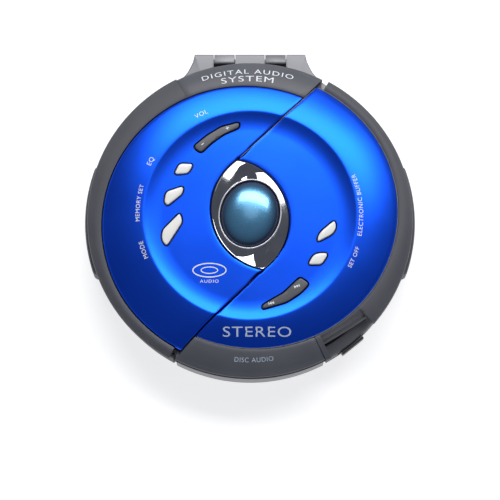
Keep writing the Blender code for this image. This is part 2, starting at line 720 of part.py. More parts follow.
def make_pickup():
    """The sled with its lens housing, and the objective lens."""
    low = rectangle(10.7, 6.5, (0.0, SLED_START + 0.5))
    neck = rectangle(4.5, 4.5, (0.0, SLED_START))
    sled = solid("pickup_sled", stack([(low, 11.8), (low, 18.5), (neck, 18.5), (neck, 20.6)]),
                 dark_plastic(), origin=(0.0, SLED_START, ROD_Z))
    for name, x in (("rod", ROD_X), ("screw", -ROD_X)):
        hole = circle(1.6, 12)
        tool = cutter("sled_" + name, laid_along(stack([(hole, 0.0), (hole, 60.0)]), (0, 1, 0),
                                                 (x, 8.0, ROD_Z)))
        cut(sled, [tool])
    lens = [(0.0, 20.95), (2.6, 20.95), (2.6, 21.3), (1.9, 21.5), (0.0, 21.6)]
    solid("objective_lens", around(lens, 16, (0.0, SLED_START)),
          finish("lens_glass", (0.3, 0.45, 0.6), 0.05), closed=True,
          origin=(0.0, SLED_START, 20.95))


# Lid
def make_lid_rim():
    """The lid's ring: a flange under the panels and a rounded rubber rim outside them."""
    extra = [CAP_START, CAP_START + 0.2, 26.2, 26.6, RIM_START - 0.2, RIM_START, -153.8, -153.4,
             -150.7, -150.5, 152.5, 152.7, SCOOP_START, SCOOP_START + 0.3, 133.0, 137.5, 142.5, 147.5,
             SCOOP_END - 0.3, SCOOP_END]
    sections = []
    for clock in ring_clocks(extra):
        outer = rim_radius(clock)
        inner = edge_radius(clock) + 0.35
        crown = top_height(edge_radius(clock)) - GAP
        shoulder = RIM_SHOULDER
        if under_cap(clock):
            crown = shoulder = FLANGE_TOP
        side = min(outer - 1.8, 0.5 * (outer + inner))
        brow = 0.6 if crown > shoulder else 0.0
        profile = [(FLANGE_INNER, FLANGE_BOTTOM), (outer - 0.8, LID_BOTTOM),
                   (outer, LID_BOTTOM + 0.7), (outer, min(shoulder - 0.2, 26.8)), (side, shoulder),
                   (0.5 * (inner + side), 0.5 * (crown + shoulder) + brow), (inner, crown),
                   (inner - 0.02, FLANGE_TOP - 0.02), (FLANGE_INNER, FLANGE_TOP - 0.02)]
        sections.append([polar(r, clock, z) for r, z in profile])
    solid("lid_rim", sections, rubber(), closed=True, origin=(0.0, HINGE_Y, HINGE_Z))


def make_caps():
    """The rear and front strips, each from a straight joint to the diagonal seam."""
    for name, turn in (("rear", 0.0), ("front", 180.0)):
        sections = []
        steps = 12
        for i in range(steps + 1):
            share = i / steps
            clock = CAP_START + share * (seam_clock(70.0) - CAP_START)
            inner = edge_radius(clock + 180.0) + 0.35
            crown = top_height(inner) - GAP
            profile = [(inner, FLANGE_TOP + GAP), (CAP_RADIUS, FLANGE_TOP + GAP),
                       (CAP_RADIUS, 27.4), (CAP_RADIUS - 1.2, RIM_SHOULDER),
                       (0.5 * (inner + CAP_RADIUS), 0.5 * (crown + RIM_SHOULDER) + 0.6),
                       (inner, crown)]
            section = []
            for r, z in profile:
                start = CAP_START + 0.25
                angle = start + share * (seam_clock(r, -0.5 * SEAM_GAP) - start)
                section.append(polar(r, angle + turn, z))
            sections.append(section)
        solid("lid_%s_cap" % name, sections, rubber(), origin=(0.0, HINGE_Y, HINGE_Z))


def panel_sections(turn):
    """Sections of one blue panel, from one end of its seam round to the other."""
    rings = (34.0, 38.5, DISH_FLOOR_RADIUS, 45.4, 48.4, DISH_CREST_RADIUS, 56.5, 61.5)
    steps = 30
    sections = []
    for i in range(steps + 1):
        share = i / steps
        line = []
        for r in (0.0,) + rings + (edge_share(share),):
            start = seam_clock(r, 0.5 * SEAM_GAP)
            end = seam_clock(r, -0.5 * SEAM_GAP) + 180.0
            clock = start + share * (end - start)
            radius = r if r else eye_radius(clock) + 0.25
            line.append((radius, clock + turn))
        top = [polar(r, c, top_height(r)) for r, c in line]
        under = [polar(r, c, top_height(r) - PANEL_THICK) for r, c in reversed(line)]
        sections.append(top + under)
    return sections


def make_panels():
    """The two blue panels with holes for the keys."""
    holes = {"left": ("eq_button", "memory_button", "mode_button", "volume_rocker"),
             "right": ("play_button", "stop_button", "skip_rocker")}
    for name, turn in (("right", 0.0), ("left", 180.0)):
        panel = solid("lid_panel_" + name, panel_sections(turn), blue(),
                      origin=(0.0, HINGE_Y, HINGE_Z))
        tools = []
        for key in holes[name]:
            outline = grown(key_outline(key), 0.45)
            tools.append(cutter(key, stack([(outline, 28.0), (outline, 42.0)])))
        cut(panel, tools)


def key_outline(key):
    """The outline of a button or rocker, its corners rounded."""
    points = BUTTONS.get(key) or ROCKERS[key]
    return rounded(points, 1.8)


def key_centre(outline):
    """The middle of an outline's extent."""
    xs = [p[0] for p in outline]
    ys = [p[1] for p in outline]
    return (0.5 * (min(xs) + max(xs)), 0.5 * (min(ys) + max(ys)))


def make_keys():
    """Five buttons and two rockers, each with a flange under the panel."""
    for key in list(BUTTONS) + list(ROCKERS):
        outline = key_outline(key)
        centre = key_centre(outline)
        top = top_height(math.hypot(*centre)) + BUTTON_RISE
        low, high = BUTTON_FLANGE
        flange = grown(outline, 1.1)
        levels = [(flange, low), (flange, high), (outline, high), (outline, top - 0.4),
                  (grown(outline, -0.45), top)]
        material = white() if key in BUTTONS else dark_plastic()
        solid(key, stack(levels), material, origin=(*centre, 32.5))


def make_bezel_and_window():
    """The chrome eye, the domed window in it and the display below."""
    steps = 48
    ring = ellipse(WINDOW_HALF, WINDOW_TILT, GAP, steps)
    sections = []
    for x, y in ring:
        clock = math.degrees(math.atan2(x, y))
        inner = math.hypot(x, y)
        outer = eye_radius(clock) - 0.15
        edge = top_height(outer) + 0.3
        inner = min(inner, outer - 0.8)
        profile = [(outer, 30.2), (outer, edge), (0.5 * (outer + inner), edge + 1.0),
                   (inner + 0.3, 36.4), (inner, 36.2), (inner, 30.2)]
        sections.append([polar(r, clock, z) for r, z in profile])
    solid("eye_bezel", sections, chrome(), closed=True)
    levels = []
    base = 34.6
    for share in (0.0, 0.35, 0.62, 0.82, 0.95, 1.0):
        spread = math.sqrt(max(1.0 - share * share, 0.0))
        half = (WINDOW_HALF[0] * spread, WINDOW_HALF[1] * spread)
        levels.append((ellipse(half, WINDOW_TILT, 0.0, 24), base + share * (WINDOW_TOP - base)))
    for share in (0.98, 0.6, 0.0):
        spread = math.sqrt(max(1.0 - share * share, 0.0))
        half = ((WINDOW_HALF[0] - 1.6) * spread, (WINDOW_HALF[1] - 1.6) * spread)
        levels.append((ellipse(half, WINDOW_TILT, 0.0, 24),
                       base + share * (WINDOW_TOP - 1.6 - base)))
    solid("display_lens", stack(levels), finish("window", (0.05, 0.2, 0.35), 0.05), closed=True)
    glass = ellipse((11.3, 13.2), WINDOW_TILT, 0.0, 20)
    solid("display_module", stack([(glass, 28.9), (glass, 33.6)]), dark_plastic())


def make_lid_inside():
    """The liner over the disc, and the key board and membrane above it."""
    liner = [(0.0, FLANGE_TOP + 0.4), (19.0, FLANGE_TOP + 0.4), (20.0, FLANGE_TOP), (61.9, FLANGE_TOP),
             (61.9, 27.3), (0.0, 27.3)]
    solid("lid_liner", around(liner, 40), dark_plastic(), closed=True)
    board = [(16.0, 27.7), (48.0, 27.7), (48.0, 28.5), (16.0, 28.5)]
    solid("key_board", around(board, 30), circuit(), closed=True)
    membrane = [(28.5, 28.8), (47.5, 28.8), (47.5, 29.5), (28.5, 29.5)]
    solid("key_membrane", around(membrane, 30), finish("membrane", (0.3, 0.3, 0.32), 0.8),
          closed=True)


clear_scene()
PLAYER = bpy.data.objects.new("player", None)
bpy.context.scene.collection.objects.link(PLAYER)
PLAYER.location = (0.0, SPINDLE_Y * MM, 0.0)

make_bottom_case()
make_case_screws()
make_armour()
make_grips()
make_feet()
make_deck()
make_battery_bay()
make_battery_cover()
make_boards_and_sockets()
make_sliders()
make_hinge()
make_mechanism()
make_feed_train()
make_turntable()
make_pickup()
make_lid_rim()
make_caps()
make_panels()
make_keys()
make_bezel_and_window()
make_lid_inside()
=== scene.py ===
import json
import math

import bmesh
import bpy
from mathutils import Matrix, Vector


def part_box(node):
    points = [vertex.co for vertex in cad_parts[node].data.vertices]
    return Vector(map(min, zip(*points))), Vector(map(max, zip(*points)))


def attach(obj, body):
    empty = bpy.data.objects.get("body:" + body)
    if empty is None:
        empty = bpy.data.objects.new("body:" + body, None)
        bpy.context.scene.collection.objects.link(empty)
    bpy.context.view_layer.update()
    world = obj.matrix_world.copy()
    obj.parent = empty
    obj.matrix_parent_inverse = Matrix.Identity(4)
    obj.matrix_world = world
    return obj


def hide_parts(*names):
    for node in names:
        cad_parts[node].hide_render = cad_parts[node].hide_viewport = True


# The looks of the portable disc player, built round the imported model.
# Lengths are millimetres about the disc's axis, and clock angles are degrees, clockwise
# from the hinge side as seen from above.
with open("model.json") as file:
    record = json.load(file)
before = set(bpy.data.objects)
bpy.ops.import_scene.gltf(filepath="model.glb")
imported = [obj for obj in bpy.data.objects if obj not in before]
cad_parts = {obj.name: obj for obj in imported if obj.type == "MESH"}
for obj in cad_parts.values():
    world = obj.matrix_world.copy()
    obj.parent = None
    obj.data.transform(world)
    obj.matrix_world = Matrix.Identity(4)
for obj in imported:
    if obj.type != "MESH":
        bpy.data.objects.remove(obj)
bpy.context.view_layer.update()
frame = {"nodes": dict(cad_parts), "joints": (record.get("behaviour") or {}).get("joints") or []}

MM = 0.001
HUB_LOW, HUB_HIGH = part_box("turntable")
AXIS = Vector((0.5 * (HUB_LOW.x + HUB_HIGH.x), 0.5 * (HUB_LOW.y + HUB_HIGH.y), 0.0))
JOINTS = {joint["name"]: joint for joint in frame["joints"]}


def low(node):
    """A CAD node's lowest corner, in millimetres about the disc's axis."""
    return (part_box(node)[0] - AXIS) / MM


def high(node):
    """A CAD node's highest corner, in millimetres about the disc's axis."""
    return (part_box(node)[1] - AXIS) / MM


def centre_of(node):
    """The middle of a CAD node's box, in millimetres about the disc's axis."""
    return 0.5 * (low(node) + high(node))


HINGE = (Vector(JOINTS["lid_hinge"]["pos_m"]) - AXIS) / MM

# Outline of the base
BASE_RADIUS = 77.8
CORE_RADIUS = 75.3
INNER_RADIUS = 72.6
FRONT_RADIUS = -low("bottom_case").y
HINGE_BACK = high("bottom_case").y
FLOOR_BOTTOM = low("bottom_case").z
FLOOR_TOP = FLOOR_BOTTOM + 2.5
WALL_FOOT = 7.4
BASE_TOP = high("bottom_case").z
HINGE_FLANK = (Vector((27.5, HINGE_BACK)), Vector((29.5, 72.5)), Vector((41.0, 66.0)))

# Screws, and the openings in the side wall: clock angle, height, and half size or radius
SCREW_CLOCKS = (22.0, 100.0, 260.0)
SCREW_RADIUS = 62.0
WALL_HOLES = {
    "lever": (141.0, 17.0, (8.2, 2.1)),
    "hold": (298.0, 15.0, (5.2, 1.8)),
    "phone": (48.0, 14.0, 3.9),
    "power": (312.0, 14.0, 3.9),
}
TRAY_SCREW_CLOCKS = (60.0, 180.0, 300.0)
TRAY_SCREW_RADIUS = 34.0

# Outline of the lid
LID_RADIUS = high("lid_rim").x
CAP_RADIUS = LID_RADIUS - 0.8
LID_BOTTOM = low("lid_rim").z
FLANGE_TOP = 26.5
RIM_SHOULDER = 28.6
CAP_START = -27.5
RIM_START = 29.5
SCOOP_START = 131.0
SCOOP_END = 150.5
SCOOP_SHALLOW = 74.3
SCOOP_DEEP = 71.3
RIM_INNER = 62.5
ROLL_TOP = 26.6
RIM_GAP = 0.35
CROWN_DROP = 0.3
ROLL_BELLY = 0.9

# Blue skin
DISH_FLOOR_RADIUS = 42.4
DISH_CREST_RADIUS = 51.4
CREST = 35.6
DISH_FLOOR = CREST - 1.4
FLOOR_CROWN = 0.7
SHOULDER_SPAN = 20.6
SHOULDER_DROP = 5.5
SHOULDER_CURVE = 0.55
CREST_ROUND = 0.25
PANEL_THICK = 1.8
ROUND_RINGS = (34.0, 62.0)
EDGE_RADIUS_WIDE = 73.0
EDGE_RADIUS_NARROW = 64.3
EDGE_START = 26.4
EYE_TILT = -13.1
EYE_HALF_WIDTH = 18.5
EYE_ARC = 30.3
SEAM_OFFSET = 23.76
SEAM_HEADING = 45.0
SEAM_BOW = 0.9
SEAM_INNER = 28.0
SEAM_GAP = 0.7

# Window
WINDOW_HALF = (14.4, 16.6)
WINDOW_TILT = 12.0
WINDOW_TOP = high("display_lens").z
WINDOW_BASE = low("display_lens").z
WINDOW_THICK = 1.6

# Chrome eye
EYE_LIP = 0.55
RING_WIDTH = 0.4
RING_TOP = 36.6
RING_DEPTH = 2.6
CREASE_START = -5.0
VALLEY_START = 18.5
RIBBON_SLOPE = 0.2
DIVE_SLOPE = 0.25

KEYS = {
    "eq_button": [(-34.1, 25.3), (-27.5, 25.0), (-29.9, 20.5), (-36.6, 20.0)],
    "memory_button": [(-32.2, 14.0), (-32.6, 10.4), (-39.8, 4.4), (-41.3, 6.4), (-40.4, 11.2)],
    "mode_button": [(-33.7, 0.8), (-32.6, -3.7), (-40.1, -15.6), (-42.3, -12.4), (-42.0, -7.8)],
    "play_button": [(40.8, -2.8), (41.4, -6.6), (39.4, -9.7), (32.5, -13.4), (32.5, -11.3),
                    (34.3, -8.2)],
    "stop_button": [(36.7, -18.9), (36.9, -20.3), (34.3, -24.4), (27.8, -24.6), (30.2, -20.3),
                    (32.5, -19.1)],
    "volume_rocker": [(-5.3, 45.9), (-13.9, 43.6), (-20.8, 39.3), (-27.4, 33.8), (-23.8, 30.7),
                      (-18.8, 35.7), (-12.9, 40.0), (-5.3, 43.4)],
    "skip_rocker": [(6.0, -46.3), (17.7, -42.7), (24.1, -38.4), (28.3, -33.9), (24.1, -30.9),
                    (22.3, -32.4), (16.2, -38.4), (9.3, -42.4), (6.0, -44.3)],
}
HOLES = {"left": ("eq_button", "memory_button", "mode_button", "volume_rocker"),
         "right": ("play_button", "stop_button", "skip_rocker")}
KEY_CORNER = 1.8
KEY_RISE = 0.9
KEY_ROUND = 0.5
HOLE_GAP = 0.8
PRINT_LIFT = 0.03


# ---------------------------------------------------------------- numbers and outlines
def polar(radius, clock, z=0.0):
    """A point at a radius and a clock angle."""
    angle = math.radians(clock)
    return (radius * math.sin(angle), radius * math.cos(angle), z)


def mix(a, b, share):
    """A value between two, or a point or outline between two alike."""
    if isinstance(a, (int, float)):
        return a + share * (b - a)
    return tuple(mix(p, q, share) for p, q in zip(a, b))


def smooth(value):
    """An S-curve from 0 to 1."""
    value = min(max(value, 0.0), 1.0)
    return value * value * (3.0 - 2.0 * value)


def bend(a, b, c, steps):
    """Points on a quadratic curve from a to c that is drawn towards b, both ends included."""
    points = []
    for i in range(steps + 1):
        t = i / steps
        points.append(tuple(p * (1 - t) ** 2 + q * 2 * t * (1 - t) + r * t * t
                            for p, q, r in zip(a, b, c)))
    return points


def folded(clock):
    """A clock angle brought to -180 .. 180."""
    return (clock + 180.0) % 360.0 - 180.0


def half_folded(clock):
    """A clock angle brought to -90 .. 90: the lid's design repeats every half turn."""
    return (clock + 90.0) % 180.0 - 90.0


def edge_share(share):
    """The blue panels' outer radius, from one seam (0) round to the other (1)."""
    drop = EDGE_RADIUS_WIDE - EDGE_RADIUS_NARROW
    return EDGE_RADIUS_WIDE - drop * smooth((share - 0.12) / 0.85)


def edge_radius(clock):
    """The blue panels' outer radius at a clock angle."""
    return edge_share(((clock - EDGE_START) % 180.0) / 180.0)


def top_height(radius):
    """The height of the blue skin: a convex shoulder, a crest and a shallow dish."""
    if radius >= DISH_CREST_RADIUS:
        share = (radius - DISH_CREST_RADIUS) / SHOULDER_SPAN
        fall = (1.0 - SHOULDER_CURVE) * share + SHOULDER_CURVE * share ** 2
        return CREST - SHOULDER_DROP * fall
    rise = max(radius - DISH_FLOOR_RADIUS, 0.0) / (DISH_CREST_RADIUS - DISH_FLOOR_RADIUS)
    floor = DISH_FLOOR + FLOOR_CROWN * (1.0 - min(radius / DISH_FLOOR_RADIUS, 1.0) ** 2)
    return floor + (CREST - DISH_FLOOR) * rise ** 2


def skin(radius):
    """The height of the blue skin with its crest rounded over."""
    return sum(top_height(radius + CREST_ROUND * step) for step in (-2, -1, 0, 1, 2)) / 5.0


def eye_radius(clock):
    """The radius of the almond round the window: two arcs that meet at two tips."""
    angle = math.radians(clock - EYE_TILT)
    shift = EYE_ARC - EYE_HALF_WIDTH
    return math.sqrt(EYE_ARC ** 2 - (shift * math.cos(angle)) ** 2) - shift * abs(math.sin(angle))


def seam_clock(radius, side=0.0):
    """The diagonal seam's clock angle at a radius, moved sideways by a distance."""
    radius = max(radius, SEAM_INNER)
    lean = math.asin(SEAM_OFFSET / radius)
    span = (radius - SEAM_INNER) / (LID_RADIUS - SEAM_INNER)
    bow = SEAM_BOW * math.sin(math.pi * span)
    return SEAM_HEADING - math.degrees(lean) + bow + math.degrees(side / (radius * math.cos(lean)))


def under_cap(clock):
    """Whether the rim is low there, below the rear or the front cap."""
    return CAP_START < half_folded(clock) < RIM_START


def in_scoop(clock, start=SCOOP_START, end=SCOOP_END):
    """Whether a clock angle lies in the thumb scoop."""
    return start < folded(clock) < end


def rim_radius(clock):
    """The lid rim's outer radius: round, with a thumb scoop at the front right."""
    if seam_clock(CAP_RADIUS) < half_folded(clock) < RIM_START:
        return EDGE_RADIUS_WIDE + 1.2
    if in_scoop(clock):
        share = (folded(clock) - SCOOP_START) / (SCOOP_END - SCOOP_START)
        return mix(SCOOP_DEEP, SCOOP_SHALLOW, (1.0 - share) ** 2)
    return LID_RADIUS - 0.4 if under_cap(clock) else LID_RADIUS


def case_radius(clock):
    """The bottom case's outer radius: round, with the hinge block and the front section."""
    angle = abs(folded(clock))
    corner = math.degrees(math.atan2(HINGE_FLANK[0].x, HINGE_FLANK[0].y))
    if angle <= corner:
        return HINGE_BACK / math.cos(math.radians(angle))
    for point in bend(*HINGE_FLANK, 60):
        if math.degrees(math.atan2(point[0], point[1])) >= angle:
            return max(math.hypot(*point), CORE_RADIUS)
    return FRONT_RADIUS if angle > 180.0 + CAP_START else CORE_RADIUS


def spun(point, turn, centre=(0.0, 0.0)):
    """A point turned clockwise about the origin by an angle and moved to a centre."""
    a = math.radians(turn)
    x, y = point
    return (centre[0] + x * math.cos(a) + y * math.sin(a),
            centre[1] + y * math.cos(a) - x * math.sin(a))


def ellipse(half_x, half_y, steps, centre=(0.0, 0.0), turn=0.0):
    """An ellipse as a polygon, turned clockwise by an angle."""
    angles = [2.0 * math.pi * i / steps for i in range(steps)]
    return [spun((half_x * math.sin(a), half_y * math.cos(a)), turn, centre) for a in angles]


def rectangle(half_x, half_y, centre=(0.0, 0.0)):
    """A rectangle's corners."""
    corners = ((-half_x, -half_y), (half_x, -half_y), (half_x, half_y), (-half_x, half_y))
    return [(x + centre[0], y + centre[1]) for x, y in corners]


def rounded(points, radius, steps=5):
    """An outline with each corner rounded."""
    outline = []
    count = len(points)
    for i in range(count):
        corner = Vector(points[i])
        before = Vector(points[i - 1]) - corner
        after = Vector(points[(i + 1) % count]) - corner
        a = corner + before.normalized() * min(radius, 0.45 * before.length)
        b = corner + after.normalized() * min(radius, 0.45 * after.length)
        outline += bend(a, corner, b, steps)
    return outline


def grown(outline, distance):
    """An outline with each side moved outward by a distance."""
    count = len(outline)
    area = sum(outline[i - 1][0] * outline[i][1] - outline[i][0] * outline[i - 1][1]
               for i in range(count))
    turn = 1.0 if area > 0 else -1.0
    points = []
    for i in range(count):
        here = Vector(outline[i])
        back = (here - Vector(outline[i - 1])).normalized()
        ahead = (Vector(outline[(i + 1) % count]) - here).normalized()
        normal = Vector((back.y + ahead.y, -back.x - ahead.x)) * turn
        scale = distance / max(0.6, 0.5 * normal.length)
        points.append(tuple(here + normal.normalized() * scale))
    return points


def middle(outline):
    """The middle of an outline's extent."""
    xs = [p[0] for p in outline]
    ys = [p[1] for p in outline]
    return Vector((0.5 * (min(xs) + max(xs)), 0.5 * (min(ys) + max(ys))))


def clocks(step, extra=()):
    """Clock angles for a full ring, with extra ones where its outline changes."""
    count = int(round(360.0 / step))
    return sorted({-180.0 + step * i for i in range(count)} | {folded(c) for c in extra})


# ---------------------------------------------------------------- sections
def stack(levels):
    """Sections of a piece built of flat outlines, each at its own height."""
    return [[(x, y, z) for x, y in outline] for outline, z in levels]


def around(profile, steps, centre=(0.0, 0.0)):
    """Sections of a turned piece: the (radius, z) profile at each step of a full turn."""
    sections = []
    for index in range(steps):
        points = [polar(r, 360.0 * index / steps, z) for r, z in profile]
        sections.append([(x + centre[0], y + centre[1], z) for x, y, z in points])
    return sections


def laid_along(sections, direction, start):
    """Turn sections made about +Z so that their +Z points along a direction from a start."""
    turn = Vector((0, 0, 1)).rotation_difference(Vector(direction))
    return [[tuple(turn @ Vector(p) + Vector(start)) for p in section] for section in sections]


def radial(outlines, clock, height, slide=0.0):
    """Sections built outward along a clock angle: (outline across and up, radius) each."""
    angle = math.radians(clock)
    out = Vector((math.sin(angle), math.cos(angle), 0.0))
    side = Vector((math.cos(angle), -math.sin(angle), 0.0))
    up = Vector((0.0, 0.0, 1.0))
    return [[tuple(out * r + side * (a + slide) + up * (b + height)) for a, b in outline]
            for outline, r in outlines]


def coil(radius, wire, pitch, turns):
    """Sections of a helical spring about +Z."""
    steps = 24
    sides = 8
    sections = []
    for index in range(int(turns * steps) + 1):
        a = 2.0 * math.pi * index / steps
        section = []
        for side in range(sides):
            b = 2.0 * math.pi * side / sides
            r = radius + wire * math.cos(b)
            z = pitch * index / steps + wire * math.sin(b)
            section.append((r * math.cos(a), r * math.sin(a), z))
        sections.append(section)
    return sections


# ---------------------------------------------------------------- pieces
def placed(name, data):
    """A new object in the scene, with a mesh, a curve, a light or a camera in it."""
    item = bpy.data.objects.new(name, data)
    bpy.context.scene.collection.objects.link(item)
    return item


def baked(name, bm):
    """A bmesh as a new object in the scene."""
    mesh = bpy.data.meshes.new(name)
    bm.to_mesh(mesh)
    bm.free()
    return placed(name, mesh)


def evaluated(item):
    """An object's shape, with its modifiers applied, as a new mesh."""
    graph = bpy.context.evaluated_depsgraph_get()
    return bpy.data.meshes.new_from_object(item.evaluated_get(graph))


def mesh_object(name, sections, closed=False):
    """Skin a run of equal sections into one closed mesh in the frame's metres."""
    bm = bmesh.new()
    rows = [[bm.verts.new(Vector(p) * MM + AXIS) for p in section] for section in sections]
    size = len(rows[0])
    for index in range(len(rows) if closed else len(rows) - 1):
        near = rows[index]
        far = rows[(index + 1) % len(rows)]
        for j in range(size):
            k = (j + 1) % size
            bm.faces.new((near[j], far[j], far[k], near[k]))
    if not closed:
        ends = [bm.faces.new(rows[0]), bm.faces.new(list(reversed(rows[-1])))]
        bmesh.ops.triangulate(bm, faces=ends)
    bmesh.ops.remove_doubles(bm, verts=bm.verts, dist=1e-7)
    bmesh.ops.recalc_face_normals(bm, faces=bm.faces)
    return baked(name, bm)


def block(name, outline, bottom, top):
    """An upright block on a flat outline."""
    return mesh_object(name, stack([(outline, bottom), (outline, top)]))


def turned(name, profile, steps, centre=(0.0, 0.0)):
    """A piece turned about an upright axis from its (radius, z) profile."""
    return mesh_object(name, around(profile, steps, centre), True)


def carve(item, tools):
    """Cut tools away from an object, and delete the tools."""
    for tool in tools:
        modifier = item.modifiers.new(tool.name, "BOOLEAN")
        modifier.operation = "DIFFERENCE"
        modifier.solver = "EXACT"
        modifier.object = tool
    mesh = evaluated(item)
    item.modifiers.clear()
    item.data = mesh
    for tool in tools:
        bpy.data.objects.remove(tool, do_unlink=True)


def dress(item, body, material, replaces=(), sharp=38.0):
    """Shade and paint a piece, put it on its body and hide the CAD nodes it replaces."""
    item.data.shade_smooth()
    item.data.set_sharp_from_angle(angle=math.radians(sharp))
    item.data.materials.clear()
    item.data.materials.append(material)
    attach(item, body)
    if replaces:
        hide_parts(*replaces)


# ---------------------------------------------------------------- materials
def shader_of(name):
    """A new material with its node tree and Principled shader."""
    item = bpy.data.materials.new(name)
    item.use_nodes = True
    return item, item.node_tree, item.node_tree.nodes["Principled BSDF"]


def wire(tree, node, values, links):
    """Set some sockets of a shader node, or of a new one of the named type, and link others."""
    if isinstance(node, str):
        node = tree.nodes.new(node)
    for socket, value in values.items():
        node.inputs[socket].default_value = value
    for socket, source in links.items():
        tree.links.new(source, node.inputs[socket])
    return node


def grain(tree, scale):
    """A noise texture in the object's own space; scale is in features per metre."""
    place = tree.nodes.new("ShaderNodeTexCoord").outputs["Object"]
    noise = wire(tree, "ShaderNodeTexNoise", {"Scale": scale, "Detail": 3.0}, {"Vector": place})
    return noise.outputs["Fac"]


def spread(tree, value, low_value, high_value):
    """Map a noise value from its usual middle range to a range of its own."""
    ends = {"From Min": 0.3, "From Max": 0.7, "To Min": low_value, "To Max": high_value}
    return wire(tree, "ShaderNodeMapRange", ends, {"Value": value}).outputs["Result"]


def ramp(tree, value, *stops):
    """A colour that follows a value; each stop is a position and its colour."""
    node = wire(tree, "ShaderNodeValToRGB", {}, {"Fac": value})
    for element, (position, colour) in zip(node.color_ramp.elements, stops):
        element.position = position
        element.color = (*colour, 1.0)
    return node.outputs["Color"]


def tint(tree, value, first, second):
    """A colour that varies between two with a noise value."""
    return ramp(tree, value, (0.3, first), (0.7, second))


def upward(tree, vector):
    """The vertical part of a direction."""
    return wire(tree, "ShaderNodeSeparateXYZ", {}, {"Vector": vector}).outputs["Z"]


def surface(name, colours, roughness, metallic=0.0, patch=60.0, fine=3000.0, relief=0.02,
            coat=0.0, coat_roughness=0.1, specular=0.5):
    """A moulded, painted or plated surface: colour and gloss vary a little, over a fine grain."""
    item, tree, shader = shader_of(name)
    broad = grain(tree, patch)
    bump = wire(tree, "ShaderNodeBump", {"Strength": 0.6, "Distance": relief * MM},
                {"Height": grain(tree, fine)})
    wire(tree, shader, {"Metallic": metallic, "Coat Weight": coat,
                        "Coat Roughness": coat_roughness, "Specular IOR Level": specular},
         {"Base Color": tint(tree, broad, *colours), "Normal": bump.outputs["Normal"],
          "Roughness": spread(tree, broad, *roughness)})
    return item


def brushed(name, colours, roughness):
    """Metal with fine parallel scratches."""
    item = surface(name, colours, roughness, metallic=1.0, relief=0.01)
    tree = item.node_tree
    place = tree.nodes.new("ShaderNodeTexCoord").outputs["Object"]
    scale = wire(tree, "ShaderNodeMapping", {"Scale": (6000.0, 150.0, 150.0)}, {"Vector": place})
    lines = wire(tree, "ShaderNodeTexNoise", {"Scale": 1.0}, {"Vector": scale.outputs["Vector"]})
    wire(tree, tree.nodes["Principled BSDF"], {},
         {"Roughness": spread(tree, lines.outputs["Fac"], *roughness)})
    return item


def tinted_window(name):
    """The domed window: a teal, half-mirrored gloss, with painted shade that darkens its colour
    towards its rim, where its face tilts away from overhead.
    """
    item, tree, shader = shader_of(name)
    painted_shade_facing = upward(tree, tree.nodes.new("ShaderNodeNewGeometry").outputs["Normal"])
    # Painted shade: the base colour darkens as the normal tilts away from straight up, so the rim is
    # darker than the top.
    colour = ramp(tree, painted_shade_facing, (0.80, (0.02, 0.035, 0.08)), (0.97, (0.10, 0.30, 0.50)))
    wire(tree, shader, {"Metallic": 0.75, "Coat Weight": 0.6, "Coat Roughness": 0.03},
         {"Base Color": colour, "Roughness": spread(tree, grain(tree, 90.0), 0.24, 0.30)})
    return item


BLUE = surface("blue_lacquer", ((0.005, 0.090, 0.86), (0.007, 0.099, 0.92)), (0.30, 0.34),
               metallic=1.0, patch=30.0, fine=5200.0, relief=0.006, coat=0.1,
               coat_roughness=0.5)
RUBBER = surface("soft_rubber", ((0.072, 0.075, 0.088), (0.084, 0.087, 0.101)), (0.50, 0.60),
                 patch=45.0, fine=2600.0, relief=0.035, specular=0.45)
CAP_RUBBER = surface("cap_rubber", ((0.080, 0.084, 0.100), (0.095, 0.098, 0.115)), (0.44, 0.54),
                     patch=45.0, fine=2600.0, relief=0.03, specular=0.5)
SILVER = surface("silver_plastic", ((0.205, 0.205, 0.22), (0.24, 0.24, 0.255)), (0.38, 0.44),
                 metallic=0.25, patch=50.0, fine=4200.0, relief=0.012)
BLACK = surface("black_plastic", ((0.018, 0.018, 0.020), (0.028, 0.028, 0.031)), (0.38, 0.5),
                patch=60.0, fine=2200.0, relief=0.03)
ROCKER = surface("rocker_plastic", ((0.085, 0.088, 0.098), (0.105, 0.108, 0.12)), (0.34, 0.42),
                 patch=70.0, fine=4000.0, relief=0.008)
WHITE = surface("white_keys", ((0.90, 0.89, 0.84), (0.94, 0.93, 0.88)), (0.28, 0.36),
                patch=80.0, fine=4000.0, relief=0.006, coat=0.3)
CHROME = surface("chrome", ((0.34, 0.35, 0.37), (0.46, 0.47, 0.49)), (0.05, 0.10),
                 metallic=1.0, patch=70.0, fine=500.0, relief=0.003)
BRIGHT = surface("bright_trim", ((0.74, 0.75, 0.78), (0.80, 0.81, 0.84)), (0.28, 0.34),
                 metallic=0.5, patch=70.0, fine=900.0, relief=0.003)
STEEL = brushed("steel", ((0.52, 0.52, 0.53), (0.62, 0.62, 0.63)), (0.22, 0.42))
BRASS = brushed("brass", ((0.62, 0.43, 0.16), (0.72, 0.52, 0.22)), (0.2, 0.36))
NYLON = surface("nylon", ((0.68, 0.66, 0.58), (0.76, 0.74, 0.66)), (0.45, 0.55))
BOARD = surface("solder_mask", ((0.008, 0.085, 0.03), (0.012, 0.12, 0.045)), (0.25, 0.4),
                patch=400.0, fine=900.0, relief=0.02, coat=0.4)
CELL = surface("cell_wrap", ((0.42, 0.32, 0.08), (0.50, 0.38, 0.10)), (0.25, 0.35), metallic=0.6)
MAT = surface("key_mat", ((0.16, 0.16, 0.17), (0.2, 0.2, 0.21)), (0.65, 0.8))
LENS = surface("lens_glass", ((0.12, 0.20, 0.42), (0.16, 0.26, 0.5)), (0.03, 0.05), coat=1.0)
INK = surface("white_ink", ((0.80, 0.84, 0.90), (0.88, 0.91, 0.95)), (0.5, 0.6))
GREY_INK = surface("grey_ink", ((0.42, 0.50, 0.62), (0.48, 0.56, 0.68)), (0.45, 0.55))
